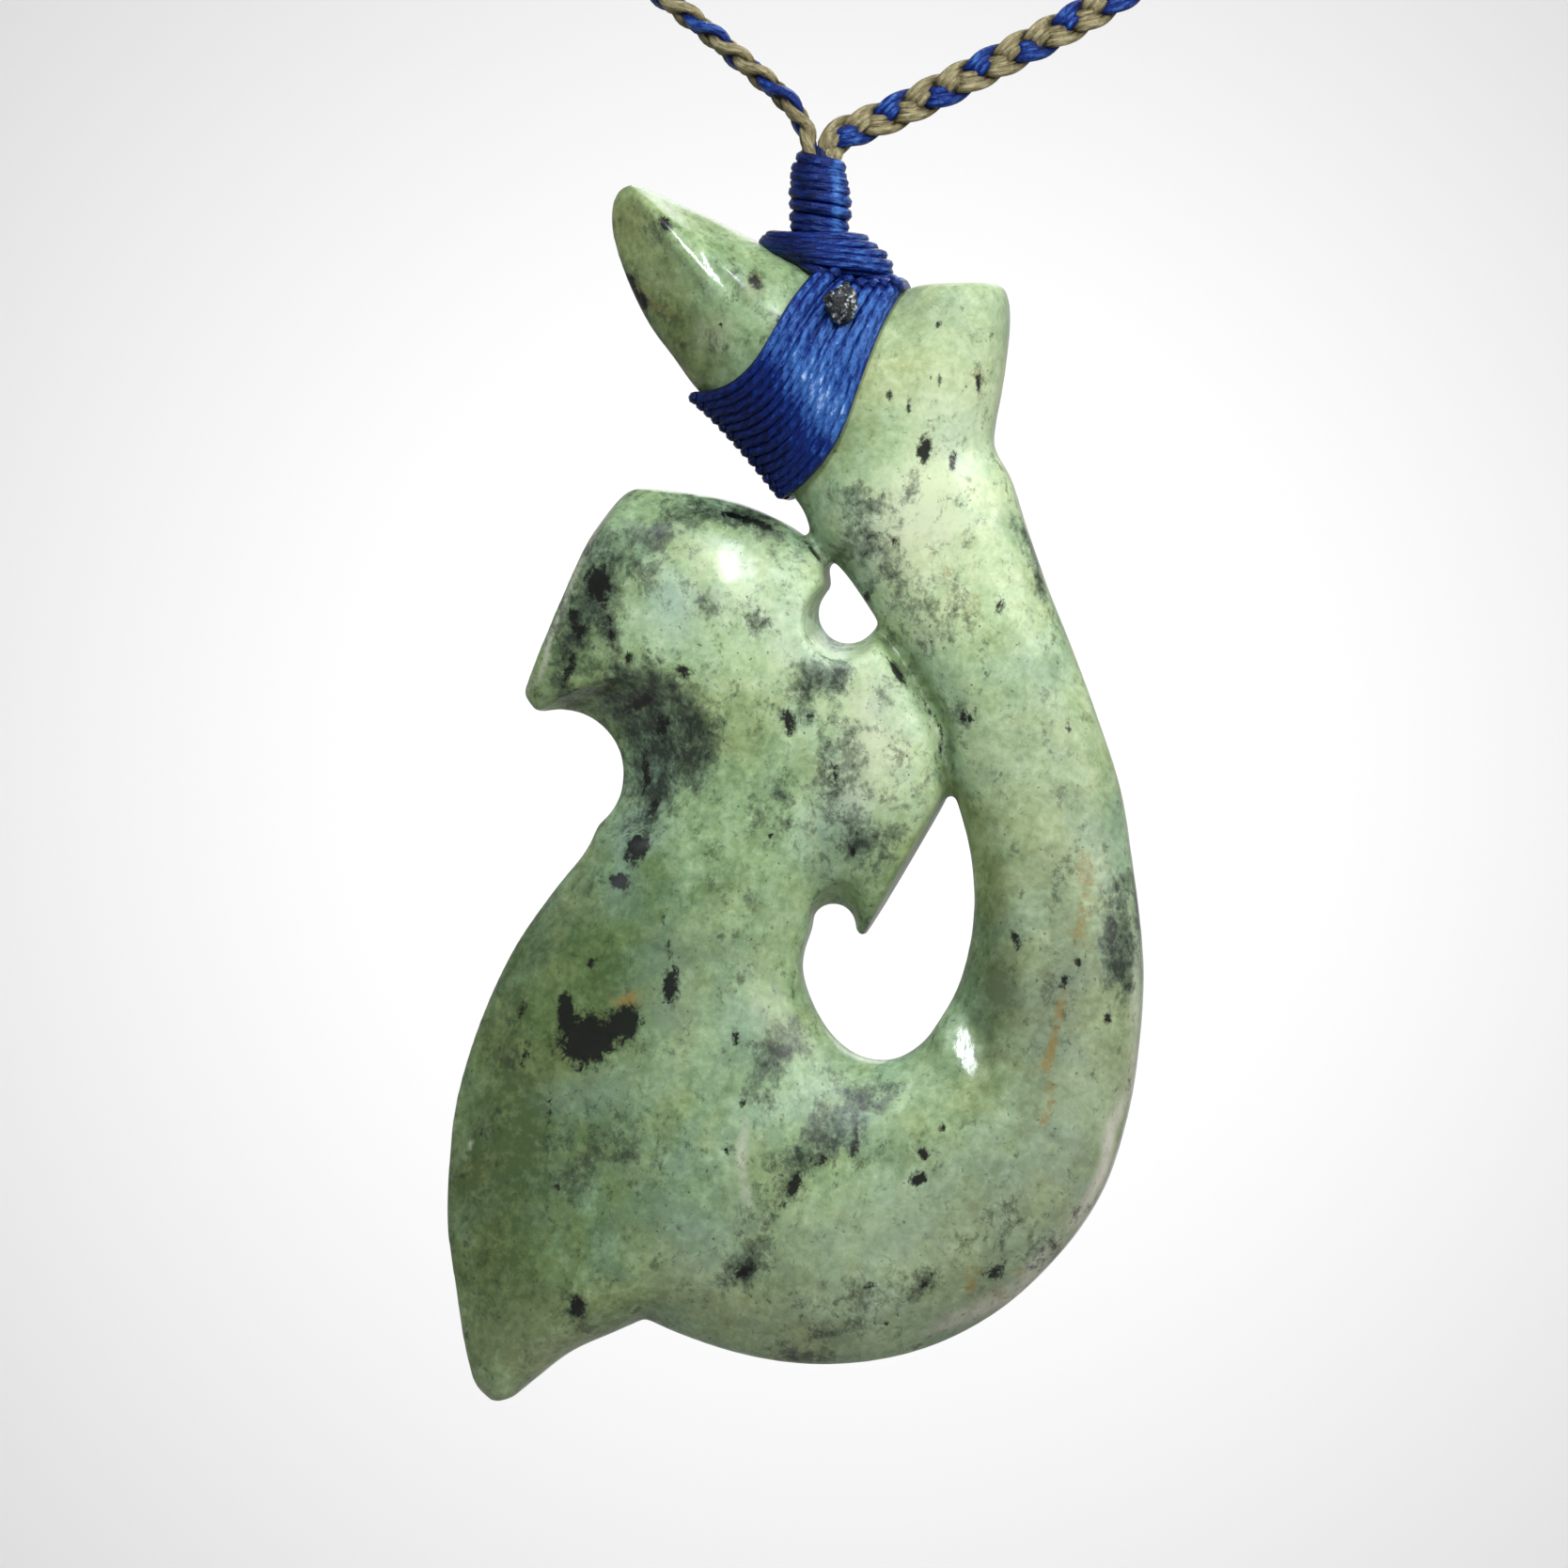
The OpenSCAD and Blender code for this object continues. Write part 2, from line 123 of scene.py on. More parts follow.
HORN_ROWS = [
    (-13.2, -2.8, -12.2, -2.4, 1.6, 0), (-13.6, -3.6, -11.6, -2.7, 3, 0), (-13.7, -5, -10.6, -3.1, 4.6, 0),
    (-13.3, -6.9, -9.2, -3.8, 6.2, 0), (-12.4, -9.3, -7.4, -4.6, 7.8, 0), (-11.1, -11.8, -5, -5.8, 9, 0.1),
    (-9.5, -13.9, -2.6, -7, 9.8, 0.5), (-8, -15.9, -0.4, -8.3, 10.2, 0.9), (-6.2, -17.6, 1.3, -9.5, 10.2, 1),
    (-4.4, -19.6, 3, -9.9, 10.2, 1), (-2.7, -21.7, 4.5, -9.9, 10.2, 1), (-1.3, -23.4, 5.9, -9.8, 10, 1),
    (0.4, -25.8, 8, -11.6, 9.2, 1), (2.6, -28.2, 9.8, -16.4, 7.6, 1),
]
# Profiles: share of the way across, height at blend 0, height at blend 1
HOOK_PROFILE = [
    (0, 0.3, 0.44), (0.06, 0.58, 0.72), (0.17, 0.83, 0.9), (0.33, 1, 0.98), (0.56, 0.96, 1), (0.78, 0.82, 0.97),
    (0.93, 0.55, 0.78), (1, 0.26, 0.44),
]
BODY_PROFILE = [
    (0, 0.24, 0.26), (0.05, 0.46, 0.44), (0.16, 0.72, 0.66), (0.36, 0.94, 0.9), (0.58, 1, 1), (0.8, 0.9, 0.86),
    (0.94, 0.62, 0.6), (1, 0.34, 0.3),
]
HEAD_PROFILE = [
    (0, 0.36, 0.3), (0.08, 0.6, 0.58), (0.22, 0.84, 0.84), (0.44, 0.98, 0.98), (0.68, 1, 0.98), (0.88, 0.92, 0.92),
    (0.97, 0.5, 0.88), (1, 0.34, 0.62),
]
HORN_PROFILE = [
    (0, 0.14, 0.4), (0.08, 0.28, 0.66), (0.3, 0.56, 0.88), (0.5, 0.8, 1), (0.67, 0.99, 0.97), (0.72, 0.97, 0.94),
    (0.9, 0.45, 0.66), (1, 0.14, 0.4),
]
# Forms: rows, profile, and how far the profile's corners are rounded, as a share of the width
HOOK = (HOOK_ROWS, HOOK_PROFILE, 0.12)
BODY = (BODY_ROWS, BODY_PROFILE, 0.14)
HEAD = (HEAD_ROWS, HEAD_PROFILE, 0.1)
HORN = (HORN_ROWS, HORN_PROFILE, 0.03)
# Half the depth of the stone at the notches, and of the land left between their slopes
FACE_Y = 4.9
NOTCH_LAND = 0.6
# Countersunk notches: x, z and radius on the face, x, z and radius at mid-thickness
NOTCHES = [
    (-10.5, -39.6, 5.8, -17.1, -41.1, 4.2), (1.8, -48.9, 2.1, 0.9, -51.1, 1.5), (1.9, -31.3, 2.9, 1.9, -30.6, 2),
]
# Straight notch at the brow: x, z, radius
BROW_NOTCH = [(1.93, -30.56, 1.95), (2.62, -28.1, 2.15)]
# Route of the plait: x, y, z and its half width there, which is PLAIT_HALF at full size
PLAIT_HALF = 1.2
BRAID_ROUTE = [
    (-0.7, 0, 0.05, 0.6), (-1, 0, 1.2, 0.9), (-2.2, 0, 3, 1.15), (-5.5, 1, 5.9, 1.2), (-10, 2, 9.6, 1.2),
    (-20, 6, 17, 1.2), (-32, 12, 27, 1.2), (-44, 21, 38, 1.2), (-55, 33, 52, 1.2), (-64, 50, 70, 1.2),
    (-69, 70, 92, 1.2), (-70, 90, 113, 1.2), (-68, 108, 132, 1.2), (-62, 125, 150, 1.2), (-53, 141, 166, 1.2),
    (-40, 155, 180, 1.2), (-21, 165, 191, 1.2), (0, 168, 194, 1.2), (21, 165, 191, 1.2), (40, 155, 180, 1.2),
    (53, 141, 166, 1.2), (62, 125, 150, 1.2), (69, 108, 132, 1.2), (72, 90, 113, 1.2), (71, 70, 90, 1.2),
    (67, 52, 69, 1.2), (59, 36, 51, 1.2), (47, 22, 35, 1.2), (34, 12, 22, 1.2), (20, 5, 10.6, 1.2),
    (10.4, 2, 5, 1.2), (4.4, 1, 2, 1.2), (1.8, 0, 0.9, 1.1), (0.7, 0, 0.05, 0.8),
]
# Neck column from its top to its base: height and half width
COLUMN_ROWS = [(0, 1.1), (-0.5, 1.42), (-1.4, 1.8), (-2.8, 2.04), (-3.9, 2.12), (-5, 2.02), (-5.7, 1.92)]


def through(a, b, c, d, t):
    """Smooth curve through b and c, with a and d as its neighbours."""
    return 0.5 * (2 * b + (c - a) * t + (2 * a - 5 * b + 4 * c - d) * t * t + (3 * b - a - 3 * c + d) * t ** 3)


def row_at(rows, v):
    """Row of a table at a place between its rows."""
    last = len(rows) - 1
    i = min(int(v), last - 1)
    ring = [rows[max(i - 1, 0)], rows[i], rows[i + 1], rows[min(i + 2, last)]]
    return [through(a, b, c, d, v - i) for a, b, c, d in zip(*ring)]


def profile_height(profile, u, blend, soft):
    """Height of a profile at a share u of the way across, as the mean of 7 places over a width soft."""
    soft = min(soft, 2 * u, 2 * (1 - u))
    shares = [p[0] for p in profile]
    heights = [p[1] + (p[2] - p[1]) * blend for p in profile]
    places = [u + soft * k / 6 for k in (-3, -2, -1, 0, 1, 2, 3)]
    return sum(np.interp(places, shares, heights)) / 7


def skin_point(rows, profile, v, u, side, soft, grow=0.0):
    """Point on the skin of a form: place along it, share across, side (-1 front, 1 back), rounding, growth."""
    x1, z1, x2, z2, thick, blend = row_at(rows, v)
    width = math.hypot(x2 - x1, z2 - z1)
    dx, dz = (x2 - x1) / width, (z2 - z1) / width
    across = -grow + (width + 2 * grow) * u
    height = profile_height(profile, u, blend, soft)
    return Vector((x1 + dx * across, side * (thick / 2 * height + grow), z1 + dz * across))


# ---- small helpers


def mesh_of(bm):
    """Mesh of a bmesh, which goes."""
    mesh = bpy.data.meshes.new("work")
    bm.to_mesh(mesh)
    bm.free()
    return mesh


def joined(meshes):
    """One mesh from several, with their faces kept."""
    bm = bmesh.new()
    for mesh in meshes:
        bm.from_mesh(mesh)
    return mesh_of(bm)


def baked(made):
    """Mesh of a working object with its modifiers applied. The working object goes."""
    view = bpy.context.evaluated_depsgraph_get()
    mesh = bpy.data.meshes.new_from_object(made.evaluated_get(view), preserve_all_data_layers=True, depsgraph=view)
    bpy.data.objects.remove(made)
    return mesh


def corners(mesh):
    """Places of a mesh's vertices."""
    places = np.zeros(len(mesh.vertices) * 3, np.float32)
    mesh.vertices.foreach_get("co", places)
    return places.reshape(-1, 3).astype(float)


def tell(mesh, name, values):
    """Keep a number for each vertex, for the materials to read."""
    mesh.attributes.new(name, "FLOAT", "POINT").data.foreach_set("value", values.astype(np.float32))


def finder(spots):
    """Search tree for the nearest of the spots."""
    tree = kdtree.KDTree(len(spots))
    for index, spot in enumerate(spots):
        tree.insert(spot, index)
    tree.balance()
    return tree


# How steeply a mark fades at its edge
MARK_FADE = 0.8


def field(places, marks, back):
    """Sum of soft marks at each place, as one number per vertex, with the back's as a share of the front's."""
    total = np.zeros(len(places))
    for x, z, wide, high, turn, strength in marks:
        c, s = math.cos(math.radians(turn)), math.sin(math.radians(turn))
        dx, dz = places[:, 0] - x, places[:, 2] - z
        reach = ((dx * c + dz * s) / wide) ** 2 + ((dz * c - dx * s) / high) ** 2
        total += strength * np.exp(-MARK_FADE * reach) * np.where(places[:, 1] > 0, back, 1.0)
    return total


def piece(name, mesh, looks, solid):
    """A finished piece in the shared frame that rides on the one body and stands for a solid."""
    mesh.transform(TO_FRAME)
    mesh.name = name
    mesh.materials.clear()
    mesh.materials.append(looks)
    made = placed(name, mesh)
    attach(made, "root")
    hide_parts(solid)


def srgb(text):
    """Linear colour of an sRGB hex value."""
    parts = [int(text[i:i + 2], 16) / 255 for i in (1, 3, 5)]
    return tuple(c / 12.92 if c <= 0.04045 else ((c + 0.055) / 1.055) ** 2.4 for c in parts) + (1,)


def node(tree, kind, inputs=(), out=0, stops=(), **settings):
    """Add a node and give its output. Its inputs are links, numbers or hex colours, its stops a ramp's."""
    made = tree.nodes.new("ShaderNode" + kind)
    for key, value in settings.items():
        setattr(made, key, value)
    for key, value in (inputs if isinstance(inputs, dict) else dict(enumerate(inputs))).items():
        if isinstance(value, bpy.types.NodeSocket):
            tree.links.new(value, made.inputs[key])
        else:
            made.inputs[key].default_value = srgb(value) if isinstance(value, str) else value
    band = made.color_ramp.elements if stops else ()
    while len(band) < len(stops):
        band.new(0.5)
    for element, (place, colour) in zip(band, stops):
        element.position = place
        element.color = srgb(colour) if isinstance(colour, str) else (colour, colour, colour, 1)
    return made.outputs[out]


def weighed(tree, total, *terms):
    """A number or pattern, plus each further pattern times its weight."""
    for pattern, weight in terms:
        total = node(tree, "Math", (pattern, weight, total), operation="MULTIPLY_ADD")
    return total


def in_mm(tree):
    """Place on the object in mm, so that the scale of a pattern is one over its size in mm."""
    return node(tree, "Mapping", {"Vector": node(tree, "TexCoord", out="Object"), "Scale": (1000, 1000, 1000)})


def material(name, finish, *values):
    """A material whose finish works out what goes into the sockets of its shader."""
    made = bpy.data.materials.new(name)
    made.use_nodes = True
    tree = made.node_tree
    tree.nodes.clear()
    shader = node(tree, "BsdfPrincipled", finish(tree, *values))
    tree.links.new(shader, tree.nodes.new("ShaderNodeOutputMaterial").inputs[0])
    return made


# ---- materials

# Black specks in the stone and painted shadow, front face: x, z, half width, half height, turn in degrees, strength
BLACK_SPECKS_AND_SLIT_SHADOW = [
    (-14.8, -58.4, 1.8, 1.6, 0, 1.4), (-12.1, -57.1, 0.9, 1, 0, 1.2), (-16.2, -56.2, 0.45, 1, 0, 1.1),
    (-11.6, -46.2, 0.6, 0.9, -25, 1.2), (-12.6, -48.3, 0.6, 0.6, 0, 1.2), (-14.5, -53.4, 0.4, 0.35, 30, 1),
    (-9.2, -54.9, 0.6, 1.1, 0, 1.2), (-5.1, -58.3, 0.35, 0.6, 10, 0.9), (-4.7, -62.6, 0.25, 0.35, 0, 0.9),
    (-5.7, -65.7, 0.25, 0.3, 0, 0.9), (-22, -64.9, 0.35, 0.35, 0, 0.8), (-14.3, -28.9, 1, 1.3, -15, 1.1),
    (-16.1, -31.2, 0.4, 0.8, 0, 0.9), (-15.4, -32, 0.6, 0.4, 30, 0.8), (-16.1, -34, 0.4, 1.2, -15, 0.85),
    (-13.4, -32.1, 0.25, 1.4, 15, 0.85), (-12.1, -33.5, 0.3, 0.35, 0, 1.1), (-8.4, -34.5, 0.6, 0.45, 0, 1),
    (-11.4, -36.3, 1, 0.55, 25, 0.95), (-9.8, -38.2, 0.7, 1.2, 0, 0.92), (-11.3, -40.3, 0.5, 1.3, -10, 0.92),
    (-1.65, -37.6, 0.35, 1, 12, 1.2), (-0.3, -37.4, 0.4, 0.5, 0, 0.8), (7.2, -20, 0.42, 1.05, -15, 1.2),
    (8.9, -20.8, 0.32, 0.8, -5, 1), (5.4, -26, 0.3, 0.6, 20, 0.9), (3.9, -29, 0.45, 0.35, 0, 1),
    (9.9, -37.6, 0.6, 0.6, 0, 0.85), (12.1, -30.1, 0.35, 0.7, 0, 0.8), (16.4, -37.9, 0.25, 0.6, 15, 0.9),
    (13.1, -51.9, 0.3, 1, 25, 0.95), (17.2, -53.3, 0.3, 0.5, 0, 0.8), (16.3, -54.6, 0.35, 0.45, 0, 1),
    (7.2, -65.8, 0.45, 0.4, 0, 1.15), (6.9, -67.4, 0.5, 0.55, -20, 1.15), (8.4, -64.1, 0.3, 0.35, 0, 0.9),
    (11.8, -73.5, 0.9, 0.6, 15, 0.88), (-15.6, -76.1, 0.6, 1, 0, 1.1), (-21.5, -66.7, 0.25, 0.25, 0, 0.8),
    (-9.9, -5.2, 0.42, 0.6, 10, 1.05), (-11.5, -9.1, 0.4, 1.2, 25, 1.05), (-2.2, -11.5, 0.25, 0.4, 0, 1),
    (-3.9, -9, 0.5, 0.7, 20, 1), (-3.8, -6.7, 0.25, 0.3, 0, 0.85), (11, -15.8, 0.22, 0.9, 8, 0.98),
    (8.1, -11.9, 0.25, 0.3, 0, 0.95), (5, -16.6, 0.25, 0.5, 0, 0.88), (6.2, -17.3, 0.2, 0.6, 0, 0.85),
    (8.2, -15.6, 0.2, 0.5, 0, 0.85), (-6, -11.8, 0.2, 0.25, 0, 0.85), (-1.3, -68, 0.5, 1.5, -30, 0.95),
    (2.7, -65.2, 0.35, 1.5, -5, 0.85), (-5.4, -24.2, 1.1, 0.35, -25, 0.8), (-3.7, -25.1, 1.2, 0.4, -20, 0.92),
    (-2.9, -45.2, 0.25, 0.3, 0, 1), (2.3, -46.3, 0.35, 0.35, 0, 1), (1.4, -41.4, 0.5, 0.9, 0, 0.85),
    (-9.8, -50.3, 0.25, 0.8, 10, 0.75), (-9.4, -52.4, 0.25, 0.6, 0, 0.8), (-18.9, -56.5, 0.25, 1, -25, 0.75),
    (-18.9, -59.4, 0.3, 0.9, -20, 0.8), (-17.4, -63.1, 0.25, 1.3, -5, 0.7), (-16.8, -68.2, 0.25, 0.3, 0, 0.9),
    (-12.3, -68, 0.2, 0.25, 0, 0.8), (18.9, -56.6, 0.25, 0.45, 0, 0.9), (0.5, -66.2, 0.7, 0.5, 30, 0.7),
    (7.3, -74.3, 0.35, 0.9, -35, 0.7), (3.8, -74.4, 0.5, 0.3, 0, 0.8), (4.1, -77, 0.5, 0.35, 0, 0.8),
    (-4.4, -73.4, 1.3, 0.4, 38, 0.8), (-10.7, -42.8, 0.35, 1.7, -12, 0.8), (5.5, -34.6, 0.35, 0.8, 0, 0.8),
    # painted shadow: the thin lines at (0.1, -26.5), (5.5, -34.5) and (7.75, -39.4) darken the narrow slit where the
    # head's wing lies against the hook
    (11.6, -12.6, 0.2, 0.5, 0, 0.7), (0.1, -26.5, 0.3, 1.1, 34, 1.1), (5.5, -34.5, 0.2, 3, 24, 0.6),
    (7.75, -39.4, 0.22, 3, 20, 0.6),
]
# Smoky clouds of darker, grainy mineral
SMOKE = [
    (-10.9, -38.2, 2.6, 3.2, 20, 1.5), (-11.6, -35.6, 2.6, 1.2, 10, 1), (-8.6, -38.4, 1.4, 2.2, 0, 0.9),
    (-10.8, -43, 1.5, 3, -10, 1), (-7.6, -41, 1, 1.2, 0, 0.6), (-6.4, -38.6, 1.2, 1.6, 0, 0.5),
    (-5, -24.4, 3.4, 1.2, -22, 1.4), (-9.8, -25, 1.5, 2.4, -20, 1.1), (-14.6, -29.4, 1.8, 2.6, -20, 1),
    (-16.3, -33.2, 1.2, 2.6, -20, 1.1), (-13.4, -32.6, 0.8, 2.2, 20, 0.9), (-7.4, -30, 1.6, 1, 0, 0.7),
    (-3.8, -30.8, 1, 1.3, 20, 1), (-0.3, -34.9, 1.5, 1.5, 0, 1), (1.4, -34.6, 0.9, 1.2, 0, 0.9),
    (1.8, -40.6, 1.3, 2.2, -15, 1.1), (-13.2, -26.2, 1.6, 1.6, 0, 0.6), (-11, -28.2, 1.6, 1.4, 0, 0.5),
    (5.9, -41.6, 1.8, 2.2, 0, 0.6), (-2.9, -43.4, 1.8, 2.2, 0, 0.8), (5.1, -35.4, 0.8, 1.8, -30, 0.7),
    (3, -45.5, 2.6, 2, 0, 0.9), (-1.5, -37.6, 1.5, 1.8, 0, 0.5), (-5, -49.5, 1.6, 1.8, 0, 0.35),
    (-12.6, -65.8, 2.2, 2.4, 20, 0.85), (-16.2, -67.3, 1.6, 1.4, 20, 0.7), (-2.5, -59.5, 1.1, 2.2, -24, 1.3),
    (-1, -66.4, 1.3, 3, -45, 1.1), (2, -64.4, 2, 1.8, 0, 0.8), (3.7, -62, 2.2, 1.3, 0, 0.7),
    (-4.4, -73.2, 2.2, 1, 38, 1.1), (7.2, -74.1, 1.5, 1, 30, 0.7), (3.6, -74.6, 2, 1, 0, 0.5),
    (2, -76.9, 3.2, 1, 20, 0.8), (-1.6, -78.6, 2, 0.6, 0, 0.8), (11.8, -70.4, 2.6, 2, 30, 0.5),
    (15.2, -71.8, 1.4, 1, 40, 0.6), (19.8, -51.8, 0.9, 3, 0, 2), (3.4, -26.4, 2.4, 2.6, -20, 0.9),
    (3.6, -22.8, 2.4, 1.2, 0, 0.6), (7.8, -29.6, 2.4, 2.2, 0, 0.6), (7.4, -32.4, 2, 1.2, 0, 0.7),
    (9.2, -37.4, 1.2, 1.4, 0, 1), (14.2, -27.4, 0.7, 3, 25, 1.3), (10.6, -15.6, 0.9, 1.4, 0, 0.4),
    (-11.7, -9.4, 0.9, 2.6, 28, 0.9), (-10.2, -5.4, 0.9, 1, 0, 0.6), (-4.3, -8.9, 1.2, 1.2, -40, 0.8),
    (-3.2, -12.2, 1.6, 1.4, 0, 0.5), (16, -55.6, 1.2, 2.4, 0, 0.4), (-22.2, -64.6, 0.9, 1.6, 0, 0.5),
    (-19.4, -56.6, 0.5, 1.4, -20, 0.5), (-19.5, -59.5, 0.5, 1.2, -20, 0.5), (-22.5, -74, 1, 3, 0, 0.4),
    (-15.7, -76.6, 1, 1.6, 0, 0.7), (3, -51.4, 1.4, 1.2, 0, 0.6), (10.2, -25, 1.2, 1.6, 0, 0.3),
]
# Rusty iron stains
RUST = [
    (-12.2, -55.8, 1, 0.55, 0, 1.5), (17.4, -51.4, 0.7, 1.5, 0, 1.1), (17.6, -47.4, 0.6, 1.8, 10, 1),
    (16.1, -56.2, 0.34, 1.4, -8, 1.1), (15.6, -58.8, 0.32, 1.4, -12, 1.1), (15.1, -60.2, 0.45, 0.7, -20, 0.9),
    (15.5, -61.9, 0.36, 0.9, 0, 0.9), (15, -63.5, 0.4, 0.8, -20, 1), (10.4, -74.1, 0.45, 1.2, 0, 1.2),
    (11.8, -75, 0.6, 0.5, 0, 0.9), (13.4, -73.4, 0.5, 0.4, 20, 0.9), (10.6, -30.1, 0.45, 1.2, 0, 0.8),
    (8.6, -28.1, 0.5, 0.9, 0, 0.7), (2.1, -20, 0.5, 0.5, 0, 0.6), (4.7, -23.1, 0.4, 0.7, -20, 0.6),
    (-13.4, -32.2, 0.3, 1.5, 20, 0.6), (1.9, -70.3, 0.7, 0.5, 30, 0.4), (-10.6, -10.4, 0.5, 1.8, 30, 0.8),
    (-3.9, -9.2, 1, 1.1, 0, 0.75), (11, -15.8, 0.4, 1, 8, 0.8), (-22.4, -64.9, 0.3, 0.5, 0, 0.5),
    (-9.1, -56.3, 0.3, 0.4, 0, 0.5), (-15.4, -75.6, 0.4, 0.5, 0, 0.6), (-12.9, -2.9, 1.2, 1.2, 0, 0.25),
    (12.5, -18.5, 0.7, 1.2, 0, 0.25),
]
# Broad tone: pale is above 0, deep bluish green below
TONE = [
    (9.5, -15, 6, 8, 0, 0.9), (8.5, -26.5, 5.5, 6.5, 0, 1), (13.5, -38, 5, 8, 0, 0.55),
    (-5, -9.5, 5, 2.6, -25, 0.55), (-10.5, -11, 2, 5, 35, -1), (-8, -14.5, 3, 3, 0, -1),
    (-12.6, -4.2, 1.8, 2.2, 30, -0.6), (-6, -31, 5.5, 4, 0, 0.9), (1.5, -38.5, 4.5, 6, 0, 0.75),
    (-2, -44, 3, 5, 0, 0.2), (-15.8, -31, 2.2, 6, -25, -0.5), (-11.8, -37.8, 3.4, 4, 0, -0.5),
    (-19.5, -62, 5.5, 12, -15, -1.3), (-15, -70, 7, 8, 0, -0.7), (-13, -53, 5, 5, 0, -0.45),
    (-21, -76, 3, 6, 0, -0.8), (11.2, -52, 1.3, 7, 0, -0.9), (12.3, -56, 1.3, 2.4, 0, -1.6),
    (-10, -33, 1.7, 1, 0, 0.8), (-1.2, -29.6, 2.2, 3, -20, 0.5), (-2, -62.8, 3.2, 2.2, 25, 0.8),
    (-3, -53, 2.5, 5, 0, 0.2), (16, -48, 3, 8, 0, 0.25), (8, -63, 4, 2.5, 0, 0.45), (17.5, -64, 3, 7, 15, 0.3),
    (-9, -52, 6, 7, 0, -0.45), (-18.5, -60, 5, 9, 0, -0.35), (5.2, -41, 2.6, 4.5, 0, 0.6), (5, -25, 3.5, 4, 0, 0.7),
    (-4.5, -9.5, 4, 3, -25, -0.5), (-6, -28.5, 4.5, 2.5, 0, 0.4), (10.5, -53, 1.6, 5, 0, -0.3),
    # painted shade: the narrow dark bands at (6.2, -34.3), (8.5, -39.6) and (2.7, -28.3) darken the hook's flank
    # where it turns away beside the wing
    (5, -38.5, 3, 4.5, 0, 0.4), (6.5, -23, 4, 3.5, 0, 0.5), (6.2, -34.3, 0.6, 3.4, 27, -1.5),
    (8.5, -39.6, 0.6, 3.4, 18, -1.5), (2.7, -28.3, 0.5, 3.6, 30, -1.4), (9.2, -20, 4, 6, 0, 0.35),
    (-5, -31.5, 4, 3.5, 0, 0.25), (4.8, -38, 2.5, 5, 20, 0.45), (16, -50, 3, 6, 0, -0.45),
    (16, -62, 4, 6, 0, -0.45), (-5, -70, 5, 6, 0, -0.35),
]
# Whitish veins, and painted reflections: the pale rim of the outer bend and the thin pale lines along the head's left
# end
PALE_VEINS_AND_RIM_SHEEN = [
    (-4.6, -65.4, 0.32, 1.6, -6, 0.5), (-4.4, -67.8, 0.3, 1.4, 6, 0.45), (20.7, -56, 0.55, 3.6, -2, 0.6),
    (19.9, -62.6, 0.65, 3.8, -11, 0.9), (18.5, -67.4, 0.65, 3, -28, 1), (16.1, -71.6, 0.65, 3.2, -42, 1),
    (13.1, -74.6, 0.6, 3, -55, 0.9), (9.6, -76.9, 0.55, 2.6, -65, 0.7), (-22.8, -66, 0.16, 0.16, 0, 1.5),
    (3.6, -37.6, 2, 3, 0, 0.35), (2.6, -42.4, 1.4, 1.8, 0, 0.35), (-17.5, -32.3, 0.2, 3.6, -22, 0.8),
    (-14.65, -26.2, 0.2, 3.2, -29, 0.7), (6.6, -24.6, 2.4, 2.4, 0, 0.3), (-6.5, -12.5, 1.5, 1.2, 0, 0.25),
]
# Milky blue green, and a painted bluish sheen on the head: the first mark
COOL_AND_SHEEN = [
    (-9.2, -30.4, 1.7, 2.2, -20, 1), (-8.6, -56, 3, 4, 0, 0.5), (-13, -61.5, 4, 1.8, 10, 0.5),
    (-4, -57, 2, 6, 0, 0.5), (3.5, -71, 6, 3, 0, 0.6), (17, -64, 2, 5, -15, 0.5), (-8, -71, 4, 4, 0, 0.5),
    (2.8, -27.6, 1.6, 1.6, 0, 0.6), (-11.8, -44.8, 1.5, 1.5, 0, 0.6), (1, -44.5, 3, 2, 0, 0.4),
]
# Brownish grey cast of the outer bend
WARM = [
    (17, -56, 4.5, 12, 0, 1), (10, -71, 7, 5.5, 35, 0.9), (14, -41, 4, 6, 0, 0.5), (-2, -76.5, 9, 3, 0, 0.7),
    (-18.5, -79, 4, 3.5, 0, 0.7), (3.5, -42, 3.5, 6, 0, 0.35), (6, -25, 4, 6, 0, 0.25),
]
# Yellower, mossy green at the thin edges
OLIVE = [
    (-12.3, -4.6, 1.8, 2.4, 30, 0.8), (-10.4, -10.6, 2.2, 5.5, 34, 0.5), (9.2, -12.5, 5, 4.5, 0, 0.35),
    (-21, -66, 3, 10, -10, 0.25), (-4, -74, 6, 3.5, 0, 0.2),
]
# Places with a softer polish
DULL = [
    (9.5, -12, 5.5, 5, 0, 1), (0.5, -62.5, 4.5, 3, 0, 0.9), (-0.5, -27.5, 2.5, 3, -30, 0.8),
    (4.8, -15, 3, 3.5, 0, 1), (7, -44.5, 3, 6, 0, 0.5), (-9.2, -25.8, 2.4, 1.3, -15, 1.2),
    (-3.2, -26, 1.6, 1.2, -25, 1), (17, -38.5, 2.2, 9, 12, 0.9), (1.9, -33.9, 2.8, 1.2, 0, 0.9),
    (-3.6, -10, 1.5, 1.5, 0, 1.1), (6.3, -38, 1.6, 5, 25, 0.8),
]
# Lap marks that break up the glints
LAPPED = [(9.6, -58.6, 1.9, 3, 27, 1), (-5.4, -27.4, 2.4, 3, 0, 0.25)]
# What is charted on the stone: name, marks, strength at the back
CHARTED = [
    ("black", BLACK_SPECKS_AND_SLIT_SHADOW, 0.6), ("smoke", SMOKE, 1.0), ("rust", RUST, 0.7), ("tone", TONE, 1.0), ("warm", WARM, 1.0),
    ("pale", PALE_VEINS_AND_RIM_SHEEN, 0.5), ("cool", COOL_AND_SHEEN, 0.5), ("dull", DULL, 0.5), ("lapped", LAPPED, 0.0), ("olive", OLIVE, 1.0),
]
# How far the stone's fibres stand off upright, in radians
FIBRE_LEAN = -0.26


